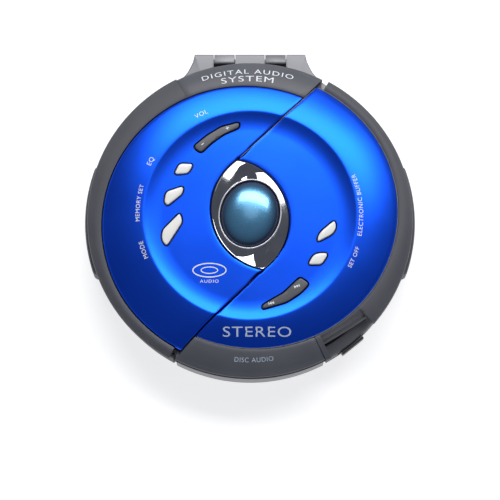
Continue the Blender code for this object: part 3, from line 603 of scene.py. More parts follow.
SCREEN = surface("display_face", ((0.10, 0.13, 0.12), (0.13, 0.16, 0.15)), (0.15, 0.25))
WINDOW = tinted_window("tinted_window")


# ---------------------------------------------------------------- base
def wall_tool(name):
    """A cutter for an opening in the side wall: a slider's slot or a socket's round hole."""
    clock, z, size = WALL_HOLES[name]
    if isinstance(size, tuple):
        slot = rectangle(*size)
        return mesh_object("t_" + name, radial([(slot, 69.0), (slot, 83.0)], clock, z))
    hole = [(0.0, 68.0), (size, 68.0), (size, 83.0), (0.0, 83.0)]
    sections = laid_along(around(hole, 40), polar(1.0, clock), (0, 0, z))
    return mesh_object("t_" + name, sections, True)


def case_profile(clock):
    """The bottom case's wall at a clock angle, from the middle of its underside and back."""
    outer = case_radius(clock)
    lift = WALL_FOOT + 0.62 * (outer - CORE_RADIUS)
    core = min(outer, CORE_RADIUS)
    top = BASE_TOP
    inner_top = BASE_TOP
    if in_scoop(clock, SCOOP_START + 0.6, 152.2):
        top = 20.8
        inner_top = 22.6
    profile = [(0.0, FLOOR_BOTTOM), (40.0, FLOOR_BOTTOM)]
    profile += bend((67.6, FLOOR_BOTTOM), (74.3, FLOOR_BOTTOM + 0.2), (core, 7.0), 7)
    profile += bend((core, 7.2), (mix(core, outer, 0.9), mix(7.2, lift, 0.75)), (outer, lift), 3)
    profile += [(outer, mix(lift, top, 0.5))]
    profile += bend((outer, top - 1.1), (outer, top), (outer - 1.1, top), 4)
    profile += [(INNER_RADIUS + 0.3, inner_top), (INNER_RADIUS, inner_top - 0.3),
                (INNER_RADIUS, 6.5), (70.5, FLOOR_TOP), (0.0, FLOOR_TOP)]
    return [polar(r, clock, z) for r, z in profile]


def make_bottom_case():
    """The silver shell: floor, wall, hinge block and front section, with its openings."""
    # Closer sections where the outline turns: hinge block, its flanks, front section, scoop
    extra = [SCOOP_START + 0.5, SCOOP_START + 0.7]
    for angle in (17.9, 18.1, 18.3, 31.0, 32.0, 152.1, 152.4):
        extra += [-angle, angle]
    case = mesh_object("bottom_shell", [case_profile(c) for c in clocks(1.5, extra)], True)
    tools = [wall_tool(name) for name in WALL_HOLES]
    slot_x = 12.65
    for i, x in enumerate((-slot_x, slot_x)):
        tools.append(block("t_slot_%d" % i, rectangle(5.35, 6.0, (x, HINGE.y + 1.8)), 15.5, 26.0))
    pin_reach = 24.3
    hole = ellipse(1.5, 1.5, 24)
    bore = stack([(hole, 0.0), (hole, 2.0 * pin_reach)])
    along = laid_along(bore, (1, 0, 0), (-pin_reach, HINGE.y, HINGE.z))
    tools.append(mesh_object("t_bore", along))
    tools.append(block("t_recess", rectangle(30.3, 27.0, (0.0, -51.0)), -1.0, 3.0))
    tools.append(block("t_mouth", rectangle(28.5, 16.3, (0.0, -41.3)), 2.0, 5.0))
    counterbore = [(0.0, 0.5), (3.0, 0.5), (3.0, 2.9), (1.6, 2.9), (1.6, 5.0), (0.0, 5.0)]
    for i, clock in enumerate(SCREW_CLOCKS):
        place = polar(SCREW_RADIUS, clock)[:2]
        tools.append(turned("t_screw_%d" % i, counterbore, 32, place))
    carve(case, tools)
    dress(case, "base", SILVER, ["bottom_case"])


def armour_profile(clock, share):
    """The armour's section: upright wall, or with share 1 the sloping floor of the scoop."""
    inner = CORE_RADIUS + 0.3
    foot = [(inner, WALL_FOOT), (76.7, 7.7), (77.4, 8.6), (BASE_RADIUS, 10.5),
            (BASE_RADIUS, 14.0)]
    wall = [(BASE_RADIUS, 18.0), (BASE_RADIUS, 21.6), (77.6, 22.8), (77.0, 23.6), (76.2, 23.9),
            (inner, 23.9), (inner, 22.0), (inner, 19.0), (inner, 15.0)]
    scoop = [(BASE_RADIUS, 17.0), (BASE_RADIUS, 19.4), (77.5, 20.5), (76.6, 21.6), (74.6, 23.1),
             (72.4, 24.1), (72.4, 22.9), (inner - 0.4, 21.2), (inner, 15.0)]
    return [polar(r, clock, z) for r, z in foot + list(mix(wall, scoop, share))]


def make_armour():
    """Rubber armour on each side of the base; the right one holds the thumb scoop's floor."""
    start = 33.0
    span = 118.6
    steps = 120
    for name, side, holes in (("right", 1.0, ("lever", "phone")), ("left", -1.0, ("hold", "power"))):
        sections = []
        for i in range(steps + 1):
            clock = side * (start + span * i / steps)
            share = smooth((clock - SCOOP_START + 0.8) / 1.8) if side > 0 else 0.0
            sections.append(armour_profile(clock, share))
        part = mesh_object("armour_skin_" + name, sections)
        carve(part, [wall_tool(hole) for hole in holes])
        dress(part, "base", RUBBER, ["armour_" + name])


def make_grips():
    """A raised, grooved grip on each side."""
    inner = BASE_RADIUS + 0.3
    outer = high("grip_right").x
    dip = outer - 0.35
    profile = [(inner, 9.5), (outer - 1.0, 9.5), (dip, 9.8), (outer, 10.6), (outer, 13.0),
               (dip, 13.4), (dip, 14.1), (outer, 14.5), (outer, 17.4), (dip, 17.8), (dip, 18.5),
               (outer, 18.9), (outer, 20.9), (dip, 21.9), (outer - 1.0, 22.4), (inner, 22.4)]
    half_span = 20.5
    steps = 60
    for name, side in (("right", 1.0), ("left", -1.0)):
        sections = []
        for i in range(steps + 1):
            angle = mix(-half_span, half_span, i / steps)
            taper = 0.2 + 0.8 * math.sqrt(smooth((half_span - abs(angle)) / 1.7))
            sections.append([polar(mix(inner, r, taper), side * (90.0 + angle), z)
                             for r, z in profile])
        dress(mesh_object("grip_pad_" + name, sections), "base", RUBBER, ["grip_" + name])


def make_feet_and_screws():
    """Rubber feet with a ring groove, and case screws with a cross recess."""
    for i in range(4):
        name = "foot_%d" % (i + 1)
        top = high(name).z
        profile = [(0.0, 0.25), (2.2, 0.25), (2.6, 0.0), (3.9, 0.0), (4.6, 0.12), (4.95, 0.5),
                   (5.0, top), (0.0, top)]
        pad = turned(name + "_pad", profile, 48, centre_of(name)[:2])
        dress(pad, "base", RUBBER, [name])
    for i in range(len(SCREW_CLOCKS)):
        name = "case_screw_%d" % (i + 1)
        centre = centre_of(name)[:2]
        z = low(name).z
        top = high(name).z
        head = [(0.0, z), (1.9, z), (2.4, z + 0.15), (2.6, z + 0.4), (2.6, z + 0.8), (1.3, z + 0.8),
                (1.3, top), (0.0, top)]
        screw = turned(name + "_turned", head, 36, centre)
        bars = (rectangle(1.5, 0.28, centre), rectangle(0.28, 1.5, centre))
        carve(screw, [block("t_bar_%d" % k, bar, z - 1.0, z + 0.5) for k, bar in enumerate(bars)])
        dress(screw, "base", STEEL, [name])


def make_battery_cover():
    """The sliding cover with finger ridges and an arrow that shows which way it goes."""
    radius = 69.3
    outline = [(-30.0, -24.3)]
    for i in range(41):
        angle = math.radians(-25.9 + 51.8 * i / 40.0)
        outline.append((radius * math.sin(angle), -radius * math.cos(angle)))
    outline.append((30.0, -24.3))
    z = FLOOR_BOTTOM
    cover = mesh_object("battery_door", stack([(grown(outline, -0.3), z), (outline, z + 0.3),
                                               (outline, 2.7)]))
    tools = []
    for i in range(5):
        groove = rectangle(9.0, 0.55, (0.0, -60.0 + 2.0 * i))
        tools.append(block("t_groove_%d" % i, groove, z - 1.0, z + 0.4))
    arrow = [(-2.6, -46.0), (2.6, -46.0), (0.0, -49.6)]
    tools.append(block("t_arrow", arrow, z - 1.0, z + 0.3))
    carve(cover, tools)
    dress(cover, "battery_cover", SILVER, ["battery_cover"])


def make_sockets():
    """The headphone and power sockets, turned, each with a metal lining."""
    face = 78.1
    pin = [(0.6, 66.0), (0.6, 75.7), (0.35, 76.0), (0.0, 76.0)]
    shapes = (("headphone_jack", "phone", 58.0, 1.8, [(0.0, 64.0)]),
              ("dc_jack", "power", 60.0, 2.2, pin))
    for name, hole, back, bore, floor in shapes:
        clock, z, _ = WALL_HOLES[hole]
        profile = [(0.0, back), (4.4, back), (4.4, 72.1), (3.6, 72.1), (3.6, face - 0.3),
                   (3.3, face), (bore + 0.2, face), (bore, face - 0.2), (bore, floor[0][1])]
        liner = [(bore - 0.02, 66.5), (bore - 0.02, face - 0.5), (bore - 0.3, face - 0.5),
                 (bore - 0.3, 66.5)]
        body = laid_along(around(profile + floor, 48), polar(1.0, clock), (0, 0, z))
        dress(mesh_object(name + "_turned", body, True), "base", BLACK, [name])
        lining = laid_along(around(liner, 36), polar(1.0, clock), (0, 0, z))
        dress(mesh_object(name + "_lining", lining, True), "base", STEEL)


def make_sliders():
    """The hold switch and the open lever, each a plate, a stem and a ridged knob."""
    # name, wall opening, slide, half sizes of plate, stem and knob, plate's back and front,
    # knob's back and front, finish
    shapes = (
        ("hold_switch", "hold", -1.5, (4.2, 2.6), (1.8, 1.3), (2.8, 1.9), 70.6, 71.9, 78.2, 79.2,
         SILVER),
        ("open_lever", "lever", 0.0, (7.5, 3.6), (4.4, 1.5), (6.6, 3.0), 70.0, 71.5, 78.2, 79.4,
         BLACK),
    )
    for name, hole, slide, plate, stem, knob, back, front, seat, face, finish in shapes:
        clock, z, _ = WALL_HOLES[hole]
        wide = rounded(rectangle(*knob), 1.0, 4)
        slab = rounded(rectangle(*plate), 0.8, 4)
        neck = rounded(rectangle(*stem), 0.3, 4)
        body = [(slab, back), (slab, front), (neck, front), (neck, seat), (wide, seat),
                (wide, face - 0.35), (grown(wide, -0.12), face - 0.12), (grown(wide, -0.4), face)]
        part = mesh_object(name + "_slider", radial(body, clock, z, slide))
        tools = []
        for i in range(-2, 3):
            groove = rectangle(0.22, knob[1] * 0.7, (i * knob[0] * 0.27, 0.0))
            cutter = radial([(groove, face - 0.3), (groove, face + 1.0)], clock, z, slide)
            tools.append(mesh_object("t_ridge_%d" % i, cutter))
        carve(part, tools)
        dress(part, name, finish, [name])


def make_deck():
    """The disc tray: a round well, moulded rings, a turntable hole and a pickup slot."""
    top = high("deck").z
    under = low("deck").z
    floor = under + 1.5
    profile = [(0.0, under), (63.9, under), (63.9, 22.2), (72.2, 22.2), (72.2, top - 0.3),
               (71.9, top), (68.6, top), (68.4, top - 0.3), (67.8, top - 0.3), (67.6, top),
               (62.9, top), (62.5, top - 0.4), (62.4, floor + 0.5), (62.0, floor + 0.1),
               (61.4, floor), (58.0, floor), (57.8, floor + 0.15), (56.8, floor + 0.15),
               (56.6, floor), (24.0, floor), (23.8, floor - 0.2), (17.5, floor - 0.2),
               (17.3, floor + 0.1), (0.0, floor + 0.1)]
    deck = turned("disc_tray", profile, 160)
    slot = rounded(rectangle(6.5, 26.1, (0.0, 36.0)), 1.5)
    tools = [block("t_hub", ellipse(15.0, 15.0, 72), 18.0, 22.0), block("t_slot", slot, 18.0, 22.0)]
    dimple = [(0.0, floor - 0.5), (1.7, floor - 0.5), (1.7, 30.0), (0.0, 30.0)]
    head = [(0.0, floor - 0.4), (1.4, floor - 0.4), (1.4, floor - 0.15), (1.0, floor), (0.0, floor)]
    places = [polar(TRAY_SCREW_RADIUS, clock)[:2] for clock in TRAY_SCREW_CLOCKS]
    for i, place in enumerate(places):
        tools.append(turned("t_dimple_%d" % i, dimple, 28, place))
    carve(deck, tools)
    dress(deck, "base", BLACK, ["deck"])
    for i, place in enumerate(places):
        dress(turned("deck_screw_%d" % (i + 1), head, 28, place), "base", STEEL)


def make_turntable():
    """The turntable with its rubber ring, and the hub with three sprung balls."""
    seat = 22.6
    top = high("turntable").z
    bottom = low("turntable").z
    profile = [(0.0, bottom), (0.75, bottom), (0.75, 17.6), (4.0, 17.6), (4.0, 21.0), (13.2, 21.0),
               (13.5, 21.3), (13.5, seat - 0.4), (13.2, seat - 0.15), (12.9, seat - 0.15),
               (7.6, seat - 0.3), (7.35, seat - 0.2), (7.35, top - 0.9), (7.0, top - 0.3),
               (6.2, top), (3.2, top), (3.0, top - 0.5), (0.0, top - 0.5)]
    dress(turned("turntable_turned", profile, 96), "turntable", BLACK, ["turntable"])
    ring = [(9.6, seat - 0.35), (12.4, seat - 0.35), (12.4, seat - 0.05), (12.1, seat),
            (9.9, seat), (9.6, seat - 0.05)]
    dress(turned("turntable_ring", ring, 96), "turntable", RUBBER)
    arc = [polar(0.9, angle) for angle in range(0, 181, 15)]
    ball = [(max(x, 0.0), y + seat + 1.1) for x, y, _ in arc]
    for i in range(3):
        piece = turned("hub_ball_%d" % (i + 1), ball, 24, polar(6.9, 120.0 * i)[:2])
        dress(piece, "turntable", STEEL)


def make_springs():
    """Finely wound springs at the hinge, the open lever and the cells."""
    wire_turns = coil(radius=1.7, wire=0.25, pitch=0.8, turns=4.0)
    hinge = laid_along(wire_turns, (1, 0, 0), (14.0, HINGE.y, HINGE.z))
    dress(mesh_object("hinge_coil", hinge), "base", STEEL, ["hinge_spring"])
    clock, height, _ = WALL_HOLES["lever"]
    side = Vector(polar(1.0, clock + 90.0))
    start = Vector(polar(69.3, clock, height)) - side * 8.4
    latch = laid_along(coil(radius=1.2, wire=0.22, pitch=1.0, turns=6.0), -side, start)
    dress(mesh_object("latch_coil", latch), "base", STEEL, ["latch_spring"])
    for i, way in ((1, 1.0), (2, -1.0)):
        cell = centre_of("battery_%d" % i)
        start = (-way * 25.25 - way * 0.6, cell.y, cell.z)
        wire_turns = coil(radius=4.0, wire=0.3, pitch=0.65, turns=2.5)
        turns = laid_along(wire_turns, (-way, 0, 0), start)
        dress(mesh_object("cell_coil_%d" % i, turns), "base", STEEL, ["contact_spring_%d" % i])


# ---------------------------------------------------------------- lid
def climb(start, end, steps=8, belly=ROLL_BELLY):
    """The curve up from the rim's rolled edge to the blue, swelling by a belly."""
    control = (mix(start[0], end[0], 0.45), mix(start[1], end[1], 0.55) + belly)
    return bend(start, control, end, steps)


def rim_section(clock):
    """The lid rim's section: inner flange, rolled outer edge and the slope up to the blue."""
    outer = rim_radius(clock)
    inner = edge_radius(clock) + RIM_GAP
    crown = top_height(edge_radius(clock)) - CROWN_DROP
    if under_cap(clock):
        crown = FLANGE_TOP
    lip = min(1.5, 0.4 * (outer - inner))
    shoulder = min(RIM_SHOULDER, crown)
    roll = min(ROLL_TOP, shoulder - 0.1)
    profile = [(RIM_INNER, LID_BOTTOM + 0.7), (outer - 1.3, LID_BOTTOM)]
    profile += bend((outer - 0.5, LID_BOTTOM), (outer, LID_BOTTOM), (outer, LID_BOTTOM + 0.5), 2)
    profile += bend((outer, roll), (outer, shoulder - 0.1), (outer - lip, shoulder), 6)
    belly = ROLL_BELLY if crown > shoulder + 0.5 else 0.0
    profile += climb((outer - lip, shoulder), (inner + 0.45, crown), belly=belly)[1:]
    profile += [(inner + 0.12, crown - 0.1), (inner, crown - 0.4), (inner, FLANGE_TOP - 0.42),
                (RIM_INNER, FLANGE_TOP - 0.4)]
    return [polar(r, clock, z) for r, z in profile]


def make_lid_rim():
    """The lid's ring with its thumb scoop."""
    extra = [SCOOP_START, SCOOP_START + 0.15, SCOOP_END, SCOOP_END - 0.15]
    for turn in (0.0, 180.0):
        for clock in (CAP_START, CAP_START + 0.1, RIM_START - 0.1, RIM_START, 26.2, 26.35):
            extra.append(clock + turn)
    rim = mesh_object("rim_ring", [rim_section(c) for c in clocks(1.0, extra)], True)
    dress(rim, "lid", RUBBER, ["lid_rim"], sharp=50.0)


def cap_climb(inner, steps=8):
    """The curve up a strip's top, from its rolled edge to its inner edge."""
    crown = top_height(inner) - CROWN_DROP
    return climb((CAP_RADIUS - 1.5, RIM_SHOULDER + 0.1), (inner + 0.45, crown), steps)


def make_caps():
    """The rear and front strips, each from a straight joint to the diagonal seam."""
    bottom = FLANGE_TOP + 0.3
    first = CAP_START + 0.12
    steps = 60
    for name, turn in (("rear", 0.0), ("front", 180.0)):
        sections = []
        for i in range(steps + 1):
            share = i / steps
            inner = edge_radius(mix(CAP_START, seam_clock(70.0), share) + 180.0) + RIM_GAP
            crown = top_height(inner) - CROWN_DROP
            sink = 0.35 * (1.0 - smooth(min(i, steps - i) / 2.0))
            profile = [(inner, bottom), (CAP_RADIUS, bottom)]
            profile += bend((CAP_RADIUS, 27.0), (CAP_RADIUS, RIM_SHOULDER - 0.1),
                            (CAP_RADIUS - 1.5, RIM_SHOULDER + 0.1), 5)
            profile += cap_climb(inner)[1:] + [(inner + 0.12, crown - 0.1), (inner, crown - 0.4)]
            section = []
            for index, (r, z) in enumerate(profile):
                angle = mix(first, seam_clock(r, -0.5 * SEAM_GAP), share)
                section.append(polar(r, angle + turn, z - (sink if index > 2 else 0.0)))
            sections.append(section)
        strip = mesh_object("%s_strip" % name, sections)
        dress(strip, "lid", CAP_RUBBER, ["lid_%s_cap" % name])


def panel_lines():
    """The panel's ring lines, from the eye to the rim: (kind, value, drop below the skin)."""
    lines = [("eye", 0.0, 0.45), ("eye", 0.02, 0.12), ("eye", 0.07, 0.0)]
    lines += [("eye", 0.07 + 0.93 * i / 6.0, 0.0) for i in range(1, 6)]
    first, last = ROUND_RINGS
    lines += [("ring", first + i, 0.0) for i in range(17)]
    lines += [("ring", DISH_CREST_RADIUS + 0.25 * i, 0.0) for i in range(-2, 3)]
    lines += [("ring", last - i, 0.0) for i in range(9, -1, -1)]
    lines += [("edge", i / 7.0, 0.0) for i in range(1, 6)]
    lines += [("edge", 0.88, 0.02), ("edge", 0.96, 0.13), ("edge", 1.0, 0.5)]
    return lines


def panel_sections(turn):
    """Sections of one blue panel, from one end of its seam round to the other."""
    steps = 170
    ends = [(0.35, 0.45), (0.50, 0.12), (0.85, 0.0)]
    stations = [(0.0, side, drop) for side, drop in ends]
    stations += [(i / steps, 0.85, 0.0) for i in range(1, steps)]
    stations += [(1.0, side, drop) for side, drop in reversed(ends)]
    sections = []
    for share, side, sunk in stations:
        top = []
        for kind, value, drop in panel_lines():
            guess = value if kind == "ring" else (SEAM_INNER if kind == "eye" else edge_share(share))
            radius = guess
            for _ in range(2):
                start = seam_clock(radius, side)
                end = seam_clock(radius, -side) + 180.0
                clock = mix(start, end, share)
                if kind == "eye":
                    radius = mix(eye_radius(clock) + 0.25, ROUND_RINGS[0], value)
                elif kind == "edge":
                    radius = mix(ROUND_RINGS[1], edge_share(share), value)
            top.append((radius, clock + turn, max(drop, sunk)))
        upper = [polar(r, c, skin(r) - drop) for r, c, drop in top]
        under = [polar(r, c, top_height(r) - PANEL_THICK) for r, c, _ in reversed(top)]
        sections.append(upper + under)
    return sections


def make_panels():
    """The two blue panels with holes for the keys."""
    for name, turn in (("right", 0.0), ("left", 180.0)):
        panel = mesh_object("blue_panel_" + name, panel_sections(turn))
        carve(panel, [block("t_" + key, grown(rounded(KEYS[key], KEY_CORNER), HOLE_GAP), 28.0, 42.0)
                      for key in HOLES[name]])
        dress(panel, "lid", BLUE, ["lid_panel_" + name], sharp=45.0)


def skin_at(x, y):
    """The height of the blue skin at a point."""
    return skin(math.hypot(x, y))


def key_slope(key):
    """How much of the dish's slope a key's top follows."""
    return 0.35 if key.endswith("rocker") else 0.5


def make_keys():
    """Buttons and rockers with rounded, slightly crowned tops over a dark flange."""
    for key, points in KEYS.items():
        outline = rounded(points, KEY_CORNER)
        centre = middle(outline)
        level = skin_at(*centre)
        top = level + KEY_RISE
        bottom = low(key).z
        shoulder = bottom + 1.6
        flange = grown(outline, 1.1)
        neck = grown(outline, -0.1)
        base = stack([(flange, bottom), (flange, bottom + 0.7), (neck, bottom + 0.7),
                      (neck, shoulder)])
        dress(mesh_object(key + "_flange", base), key, BLACK)
        levels = [(outline, shoulder), (outline, top - KEY_ROUND)]
        for angle in (20.0, 40.0, 60.0, 80.0):
            turn = math.radians(angle)
            levels.append((grown(outline, -KEY_ROUND * (1.0 - math.cos(turn))),
                           top - KEY_ROUND * (1.0 - math.sin(turn))))
        rim = grown(outline, -KEY_ROUND)
        for shrink, rise in ((0.98, 0.02), (0.8, 0.1), (0.5, 0.17), (0.2, 0.2)):
            ring = [tuple(centre + (Vector(p) - centre) * shrink) for p in rim]
            levels.append((ring, top + rise))
        slope = key_slope(key)
        sections = [[(x, y, z + slope * (skin_at(x, y) - level)) for x, y, z in section]
                    for section in stack(levels)]
        finish = WHITE if key.endswith("button") else ROCKER
        dress(mesh_object(key + "_cap", sections), key, finish, [key], sharp=60.0)


def window_radius(clock, grow):
    """The radius of the window's outline, grown by an offset, at a clock angle."""
    angle = math.radians(clock - WINDOW_TILT)
    across = math.sin(angle) / (WINDOW_HALF[0] + grow)
    along = math.cos(angle) / (WINDOW_HALF[1] + grow)
    return 1.0 / math.hypot(across, along)


def wound(clock, start, span, power):
    """How far a swirl line has wound inward: 0 at its start on the rim, 1 at the ring."""
    share = min(((start - clock) % 180.0) / span, 1.0)
    return 1.0 - (1.0 - share) ** power


def bezel_section(clock):
    """One section of the chrome eye: two ribbons that each dive under the start of the other."""
    inner = window_radius(clock, 0.3)
    foot = inner + RING_WIDTH
    outer = eye_radius(clock) - 0.15
    lip = outer - EYE_LIP
    before_crease = (VALLEY_START - clock) % 180.0 < VALLEY_START - CREASE_START
    crease = 0.0 if before_crease else wound(clock, CREASE_START, 85.0, 3.5)
    valley = wound(clock, VALLEY_START, 58.0, 2.5)
    if not before_crease:
        valley = max(valley, crease)
    crease_radius = mix(lip, foot, crease)
    valley_radius = mix(lip, foot, valley)
    edge = skin(outer) + 0.25
    crease_height = edge + RIBBON_SLOPE * (lip - crease_radius)
    valley_height = crease_height - DIVE_SLOPE * (crease_radius - valley_radius)
    base_height = valley_height + RIBBON_SLOPE * (valley_radius - foot)
    bottom = low("eye_bezel").z
    profile = [(outer, bottom), (outer, edge - 0.25), (outer - 0.08, edge + 0.05),
               (outer - 0.25, edge + 0.15), (outer - 0.42, edge + 0.05)]
    stops = ((lip, edge), (crease_radius, crease_height), (valley_radius, valley_height),
             (foot, base_height))
    for start, end in zip(stops, stops[1:]):
        profile += [mix(start, end, share) for share in (0.02, 0.25, 0.5, 0.75, 0.98)]
    profile += [(foot, base_height - 0.6), (inner, base_height - 0.6), (inner, bottom)]
    return [polar(r, clock, z) for r, z in profile]


def bead_section(clock):
    """One section of the bright bead between the chrome eye and the window."""
    inner = window_radius(clock, 0.06)
    outer = window_radius(clock, 0.3) + RING_WIDTH
    half = 0.5 * (outer - inner)
    section = [(inner, RING_TOP - RING_DEPTH)]
    for i in range(9):
        angle = math.pi * (1.0 - i / 8.0)
        section.append((inner + half + half * math.cos(angle),
                        RING_TOP - half + half * math.sin(angle)))
    section.append((outer, RING_TOP - RING_DEPTH))
    return [polar(r, clock, z) for r, z in section]


def make_eye():
    """The chrome eye and the domed window in it."""
    turn = [c for c in clocks(1.2) if abs(half_folded(c - VALLEY_START)) > 0.5]
    turn += [folded(VALLEY_START + side + half) for side in (-0.3, 0.3) for half in (0.0, 180.0)]
    ring = mesh_object("eye_ring", [bezel_section(c) for c in sorted(turn)], True)
    dress(ring, "lid", CHROME, ["eye_bezel"], sharp=18.0)
    dress(mesh_object("eye_bead", [bead_section(c) for c in clocks(3.0)], True), "lid", BRIGHT)
    levels = []
    shells = ((WINDOW_HALF, WINDOW_TOP, range(0, 31)),
              ([half - WINDOW_THICK for half in WINDOW_HALF], WINDOW_TOP - WINDOW_THICK,
               range(28, -1, -4)))
    for half, top, steps in shells:
        for i in steps:
            angle = 0.5 * math.pi * i / 30.0
            size = [reach * math.cos(angle) for reach in half]
            levels.append((ellipse(*size, 96, turn=WINDOW_TILT),
                           mix(WINDOW_BASE, top, math.sin(angle))))
    dress(mesh_object("window_dome", stack(levels)), "lid", WINDOW, ["display_lens"], sharp=50.0)


def make_edge_highlights():
    """Painted highlight: pale silver strips along the right panel's outer edge and its diagonal edge,
    where the light catches those edges; the left panel has none.
    """
    depth = 1.2
    steps = 150
    sections = []
    for i in range(steps + 1):
        share = mix(0.004, 0.996, i / steps)
        radius = edge_share(share)
        start = seam_clock(radius, 0.5 * SEAM_GAP)
        clock = mix(start, seam_clock(radius, -0.5 * SEAM_GAP) + 180.0, share)
        top = skin(radius) - 0.28
        profile = ((0.04, top - depth), (0.3, top - depth), (0.3, top - 0.12), (0.24, top),
                   (0.04, top))
        sections.append([polar(radius + reach, clock, z) for reach, z in profile])
    # Painted highlight along the right panel's outer edge.
    dress(mesh_object("panel_edge_highlight", sections), "lid", SILVER)
    steps = 60
    sections = []
    for i in range(steps + 1):
        radius = mix(29.0, 72.4, i / steps)
        top = skin(radius) - 0.3
        near = seam_clock(radius, 0.5 * SEAM_GAP - 0.02)
        far = seam_clock(radius, 0.5 * SEAM_GAP - 0.26)
        profile = ((0.0, top - depth), (0.0, top), (0.7, top), (1.0, top - 0.12),
                   (1.0, top - depth))
        sections.append([polar(radius, mix(near, far, share), z) for share, z in profile])
    # Painted highlight along the diagonal seam's edge.
    dress(mesh_object("seam_edge_highlight", sections), "lid", SILVER)


def make_liner():
    """The lid's lining with moulded rings and a boss that clears the hub."""
    lift = ((0.0, 0.5), (8.6, 0.5), (8.8, 0.3), (9.6, 0.3), (9.8, 0.5), (19.0, 0.5), (19.4, 0.05),
            (21.0, 0.05), (21.4, 0.35), (34.0, 0.35), (34.3, 0.15), (35.2, 0.15), (35.5, 0.35),
            (55.0, 0.35), (55.3, 0.0), (61.6, 0.0), (61.9, 0.3), (61.9, 0.8), (0.0, 0.8))
    profile = [(radius, FLANGE_TOP + rise) for radius, rise in lift]
    dress(turned("lid_lining", profile, 144), "lid", BLACK, ["lid_liner"])


# ---------------------------------------------------------------- print
def strip_height(x, y):
    """The height of the rear or front strip's top at a point."""
    radius = math.hypot(x, y)
    inner = edge_radius(math.degrees(math.atan2(x, y)) + 180.0) + RIM_GAP
    return min(cap_climb(inner, 40), key=lambda p: abs(p[0] - radius))[1]


def lettering(name, text, size, spacing, material, place, strip=False):
    """Flat plain lettering in the built-in face; place puts a letter's point on the lid."""
    curve = bpy.data.curves.new(name, "FONT")
    curve.body = text
    curve.size = size
    curve.align_x = "CENTER"
    curve.align_y = "CENTER"
    curve.space_character = spacing
    curve.resolution_u = 4
    source = placed(name + "_source", curve)
    mesh = evaluated(source)
    bpy.data.objects.remove(source, do_unlink=True)
    height = strip_height if strip else skin_at
    lift = 4.0 * PRINT_LIFT if strip else PRINT_LIFT
    for vertex in mesh.vertices:
        x, y = place(vertex.co.x, vertex.co.y)
        vertex.co = Vector((x, y, height(x, y) + lift)) * MM + AXIS
    dress(placed(name, mesh), "lid", material)


def bent(name, text, size, radius, clock, material=INK, spacing=1.1, wide=1.0, inward=False,
         strip=False):
    """Lettering bent round the disc's axis, its tops outward, or inward towards the axis."""
    way = -1.0 if inward else 1.0

    def place(x, y):
        return polar(radius + way * y, clock + way * math.degrees(x * wide / radius))[:2]

    lettering(name, text, size, spacing, material, place, strip)


def straight(name, text, size, centre, material, spacing, wide):
    """Lettering in a straight line from left to right, laid on the blue skin."""
    lettering(name, text, size, spacing, material,
              lambda x, y: (centre[0] + x * wide, centre[1] + y))


def decal(name, outlines, height, body):
    """Thin flat marks in white: outlines in millimetres, laid at a height function."""
    bm = bmesh.new()
    for outline in outlines:
        corners = [bm.verts.new(Vector((x, y, height(x, y))) * MM + AXIS) for x, y in outline]
        bm.faces.new(corners)
    bmesh.ops.triangulate(bm, faces=bm.faces)
    for face in bm.faces:
        face.normal_update()
        if face.normal.z < 0:
            face.normal_flip()
    dress(baked(name, bm), body, INK)


def band(outline, width):
    """Quads that trace a closed outline with a line of some width."""
    inner = grown(outline, -width)
    count = len(outline)
    return [[outline[i], outline[(i + 1) % count], inner[(i + 1) % count], inner[i]]
            for i in range(count)]


def key_top(key):
    """A function that gives the height of a key's top, a hair above it."""
    base = skin_at(*middle(rounded(KEYS[key], KEY_CORNER)))
    slope = key_slope(key)
    return lambda x, y: base + KEY_RISE + 0.22 + slope * (skin_at(x, y) - base)


def make_print():
    """Generic print: function words, rocker symbols and a plain disc mark."""
    plus = [rectangle(0.85, 0.2), rectangle(0.2, 0.85)]
    minus = [rectangle(0.7, 0.2)]
    ahead = [[(-1.5, -0.7), (-1.5, 0.7), (-0.3, 0.0)], [(-0.3, -0.7), (-0.3, 0.7), (0.9, 0.0)],
             rectangle(0.16, 0.7, (1.1, 0.0))]
    back = [[(-x, y) for x, y in shape] for shape in ahead]
    for name, shapes, centre, turn, key in (
            ("mark_plus", plus, (-11.0, 42.9), -22.0, "volume_rocker"),
            ("mark_minus", minus, (-23.0, 34.9), -40.0, "volume_rocker"),
            ("mark_next", ahead, (22.5, -35.2), -20.0, "skip_rocker"),
            ("mark_back", back, (10.0, -43.5), -14.0, "skip_rocker")):
        outlines = [[spun(point, turn, centre) for point in shape] for shape in shapes]
        decal(name, outlines, key_top(key), key)
    for name, text, size, radius, clock in (
            ("word_volume", "VOL", 3.3, 55.4, -25.3), ("word_tone", "EQ", 3.3, 54.8, -61.3),
            ("word_memory", "MEMORY SET", 2.9, 54.0, -84.0), ("word_mode", "MODE", 3.0, 54.0, -109.0)):
        bent(name, text, size, radius, clock)
    bent("word_buffer", "ELECTRONIC BUFFER", 3.0, 53.6, 85.0, inward=True)
    bent("word_off", "SET OFF", 2.8, 54.2, 113.0, inward=True)
    straight("word_stereo", "STEREO", 6.8, (3.4, -57.4), GREY_INK, 1.1, 1.31)
    rings = []
    for half_x, half_y, width in ((8.2, 3.6, 0.55), (4.2, 1.8, 0.45)):
        rings += band(ellipse(half_x, half_y, 48, (-19.4, -27.3)), width)
    decal("mark_disc", rings, lambda x, y: skin_at(x, y) + PRINT_LIFT, "lid")
    straight("word_audio", "AUDIO", 2.1, (-19.4, -32.7), INK, 1.2, 1.2)
    bent("strip_words", "DIGITAL AUDIO", 3.6, 72.9, -1.0, spacing=1.2, wide=1.52, strip=True)
    bent("strip_words_low", "SYSTEM", 4.3, 68.9, -1.0, spacing=1.15, wide=1.63, strip=True)
    bent("front_words", "DISC AUDIO", 3.1, 70.4, 178.5, GREY_INK, inward=True, strip=True)


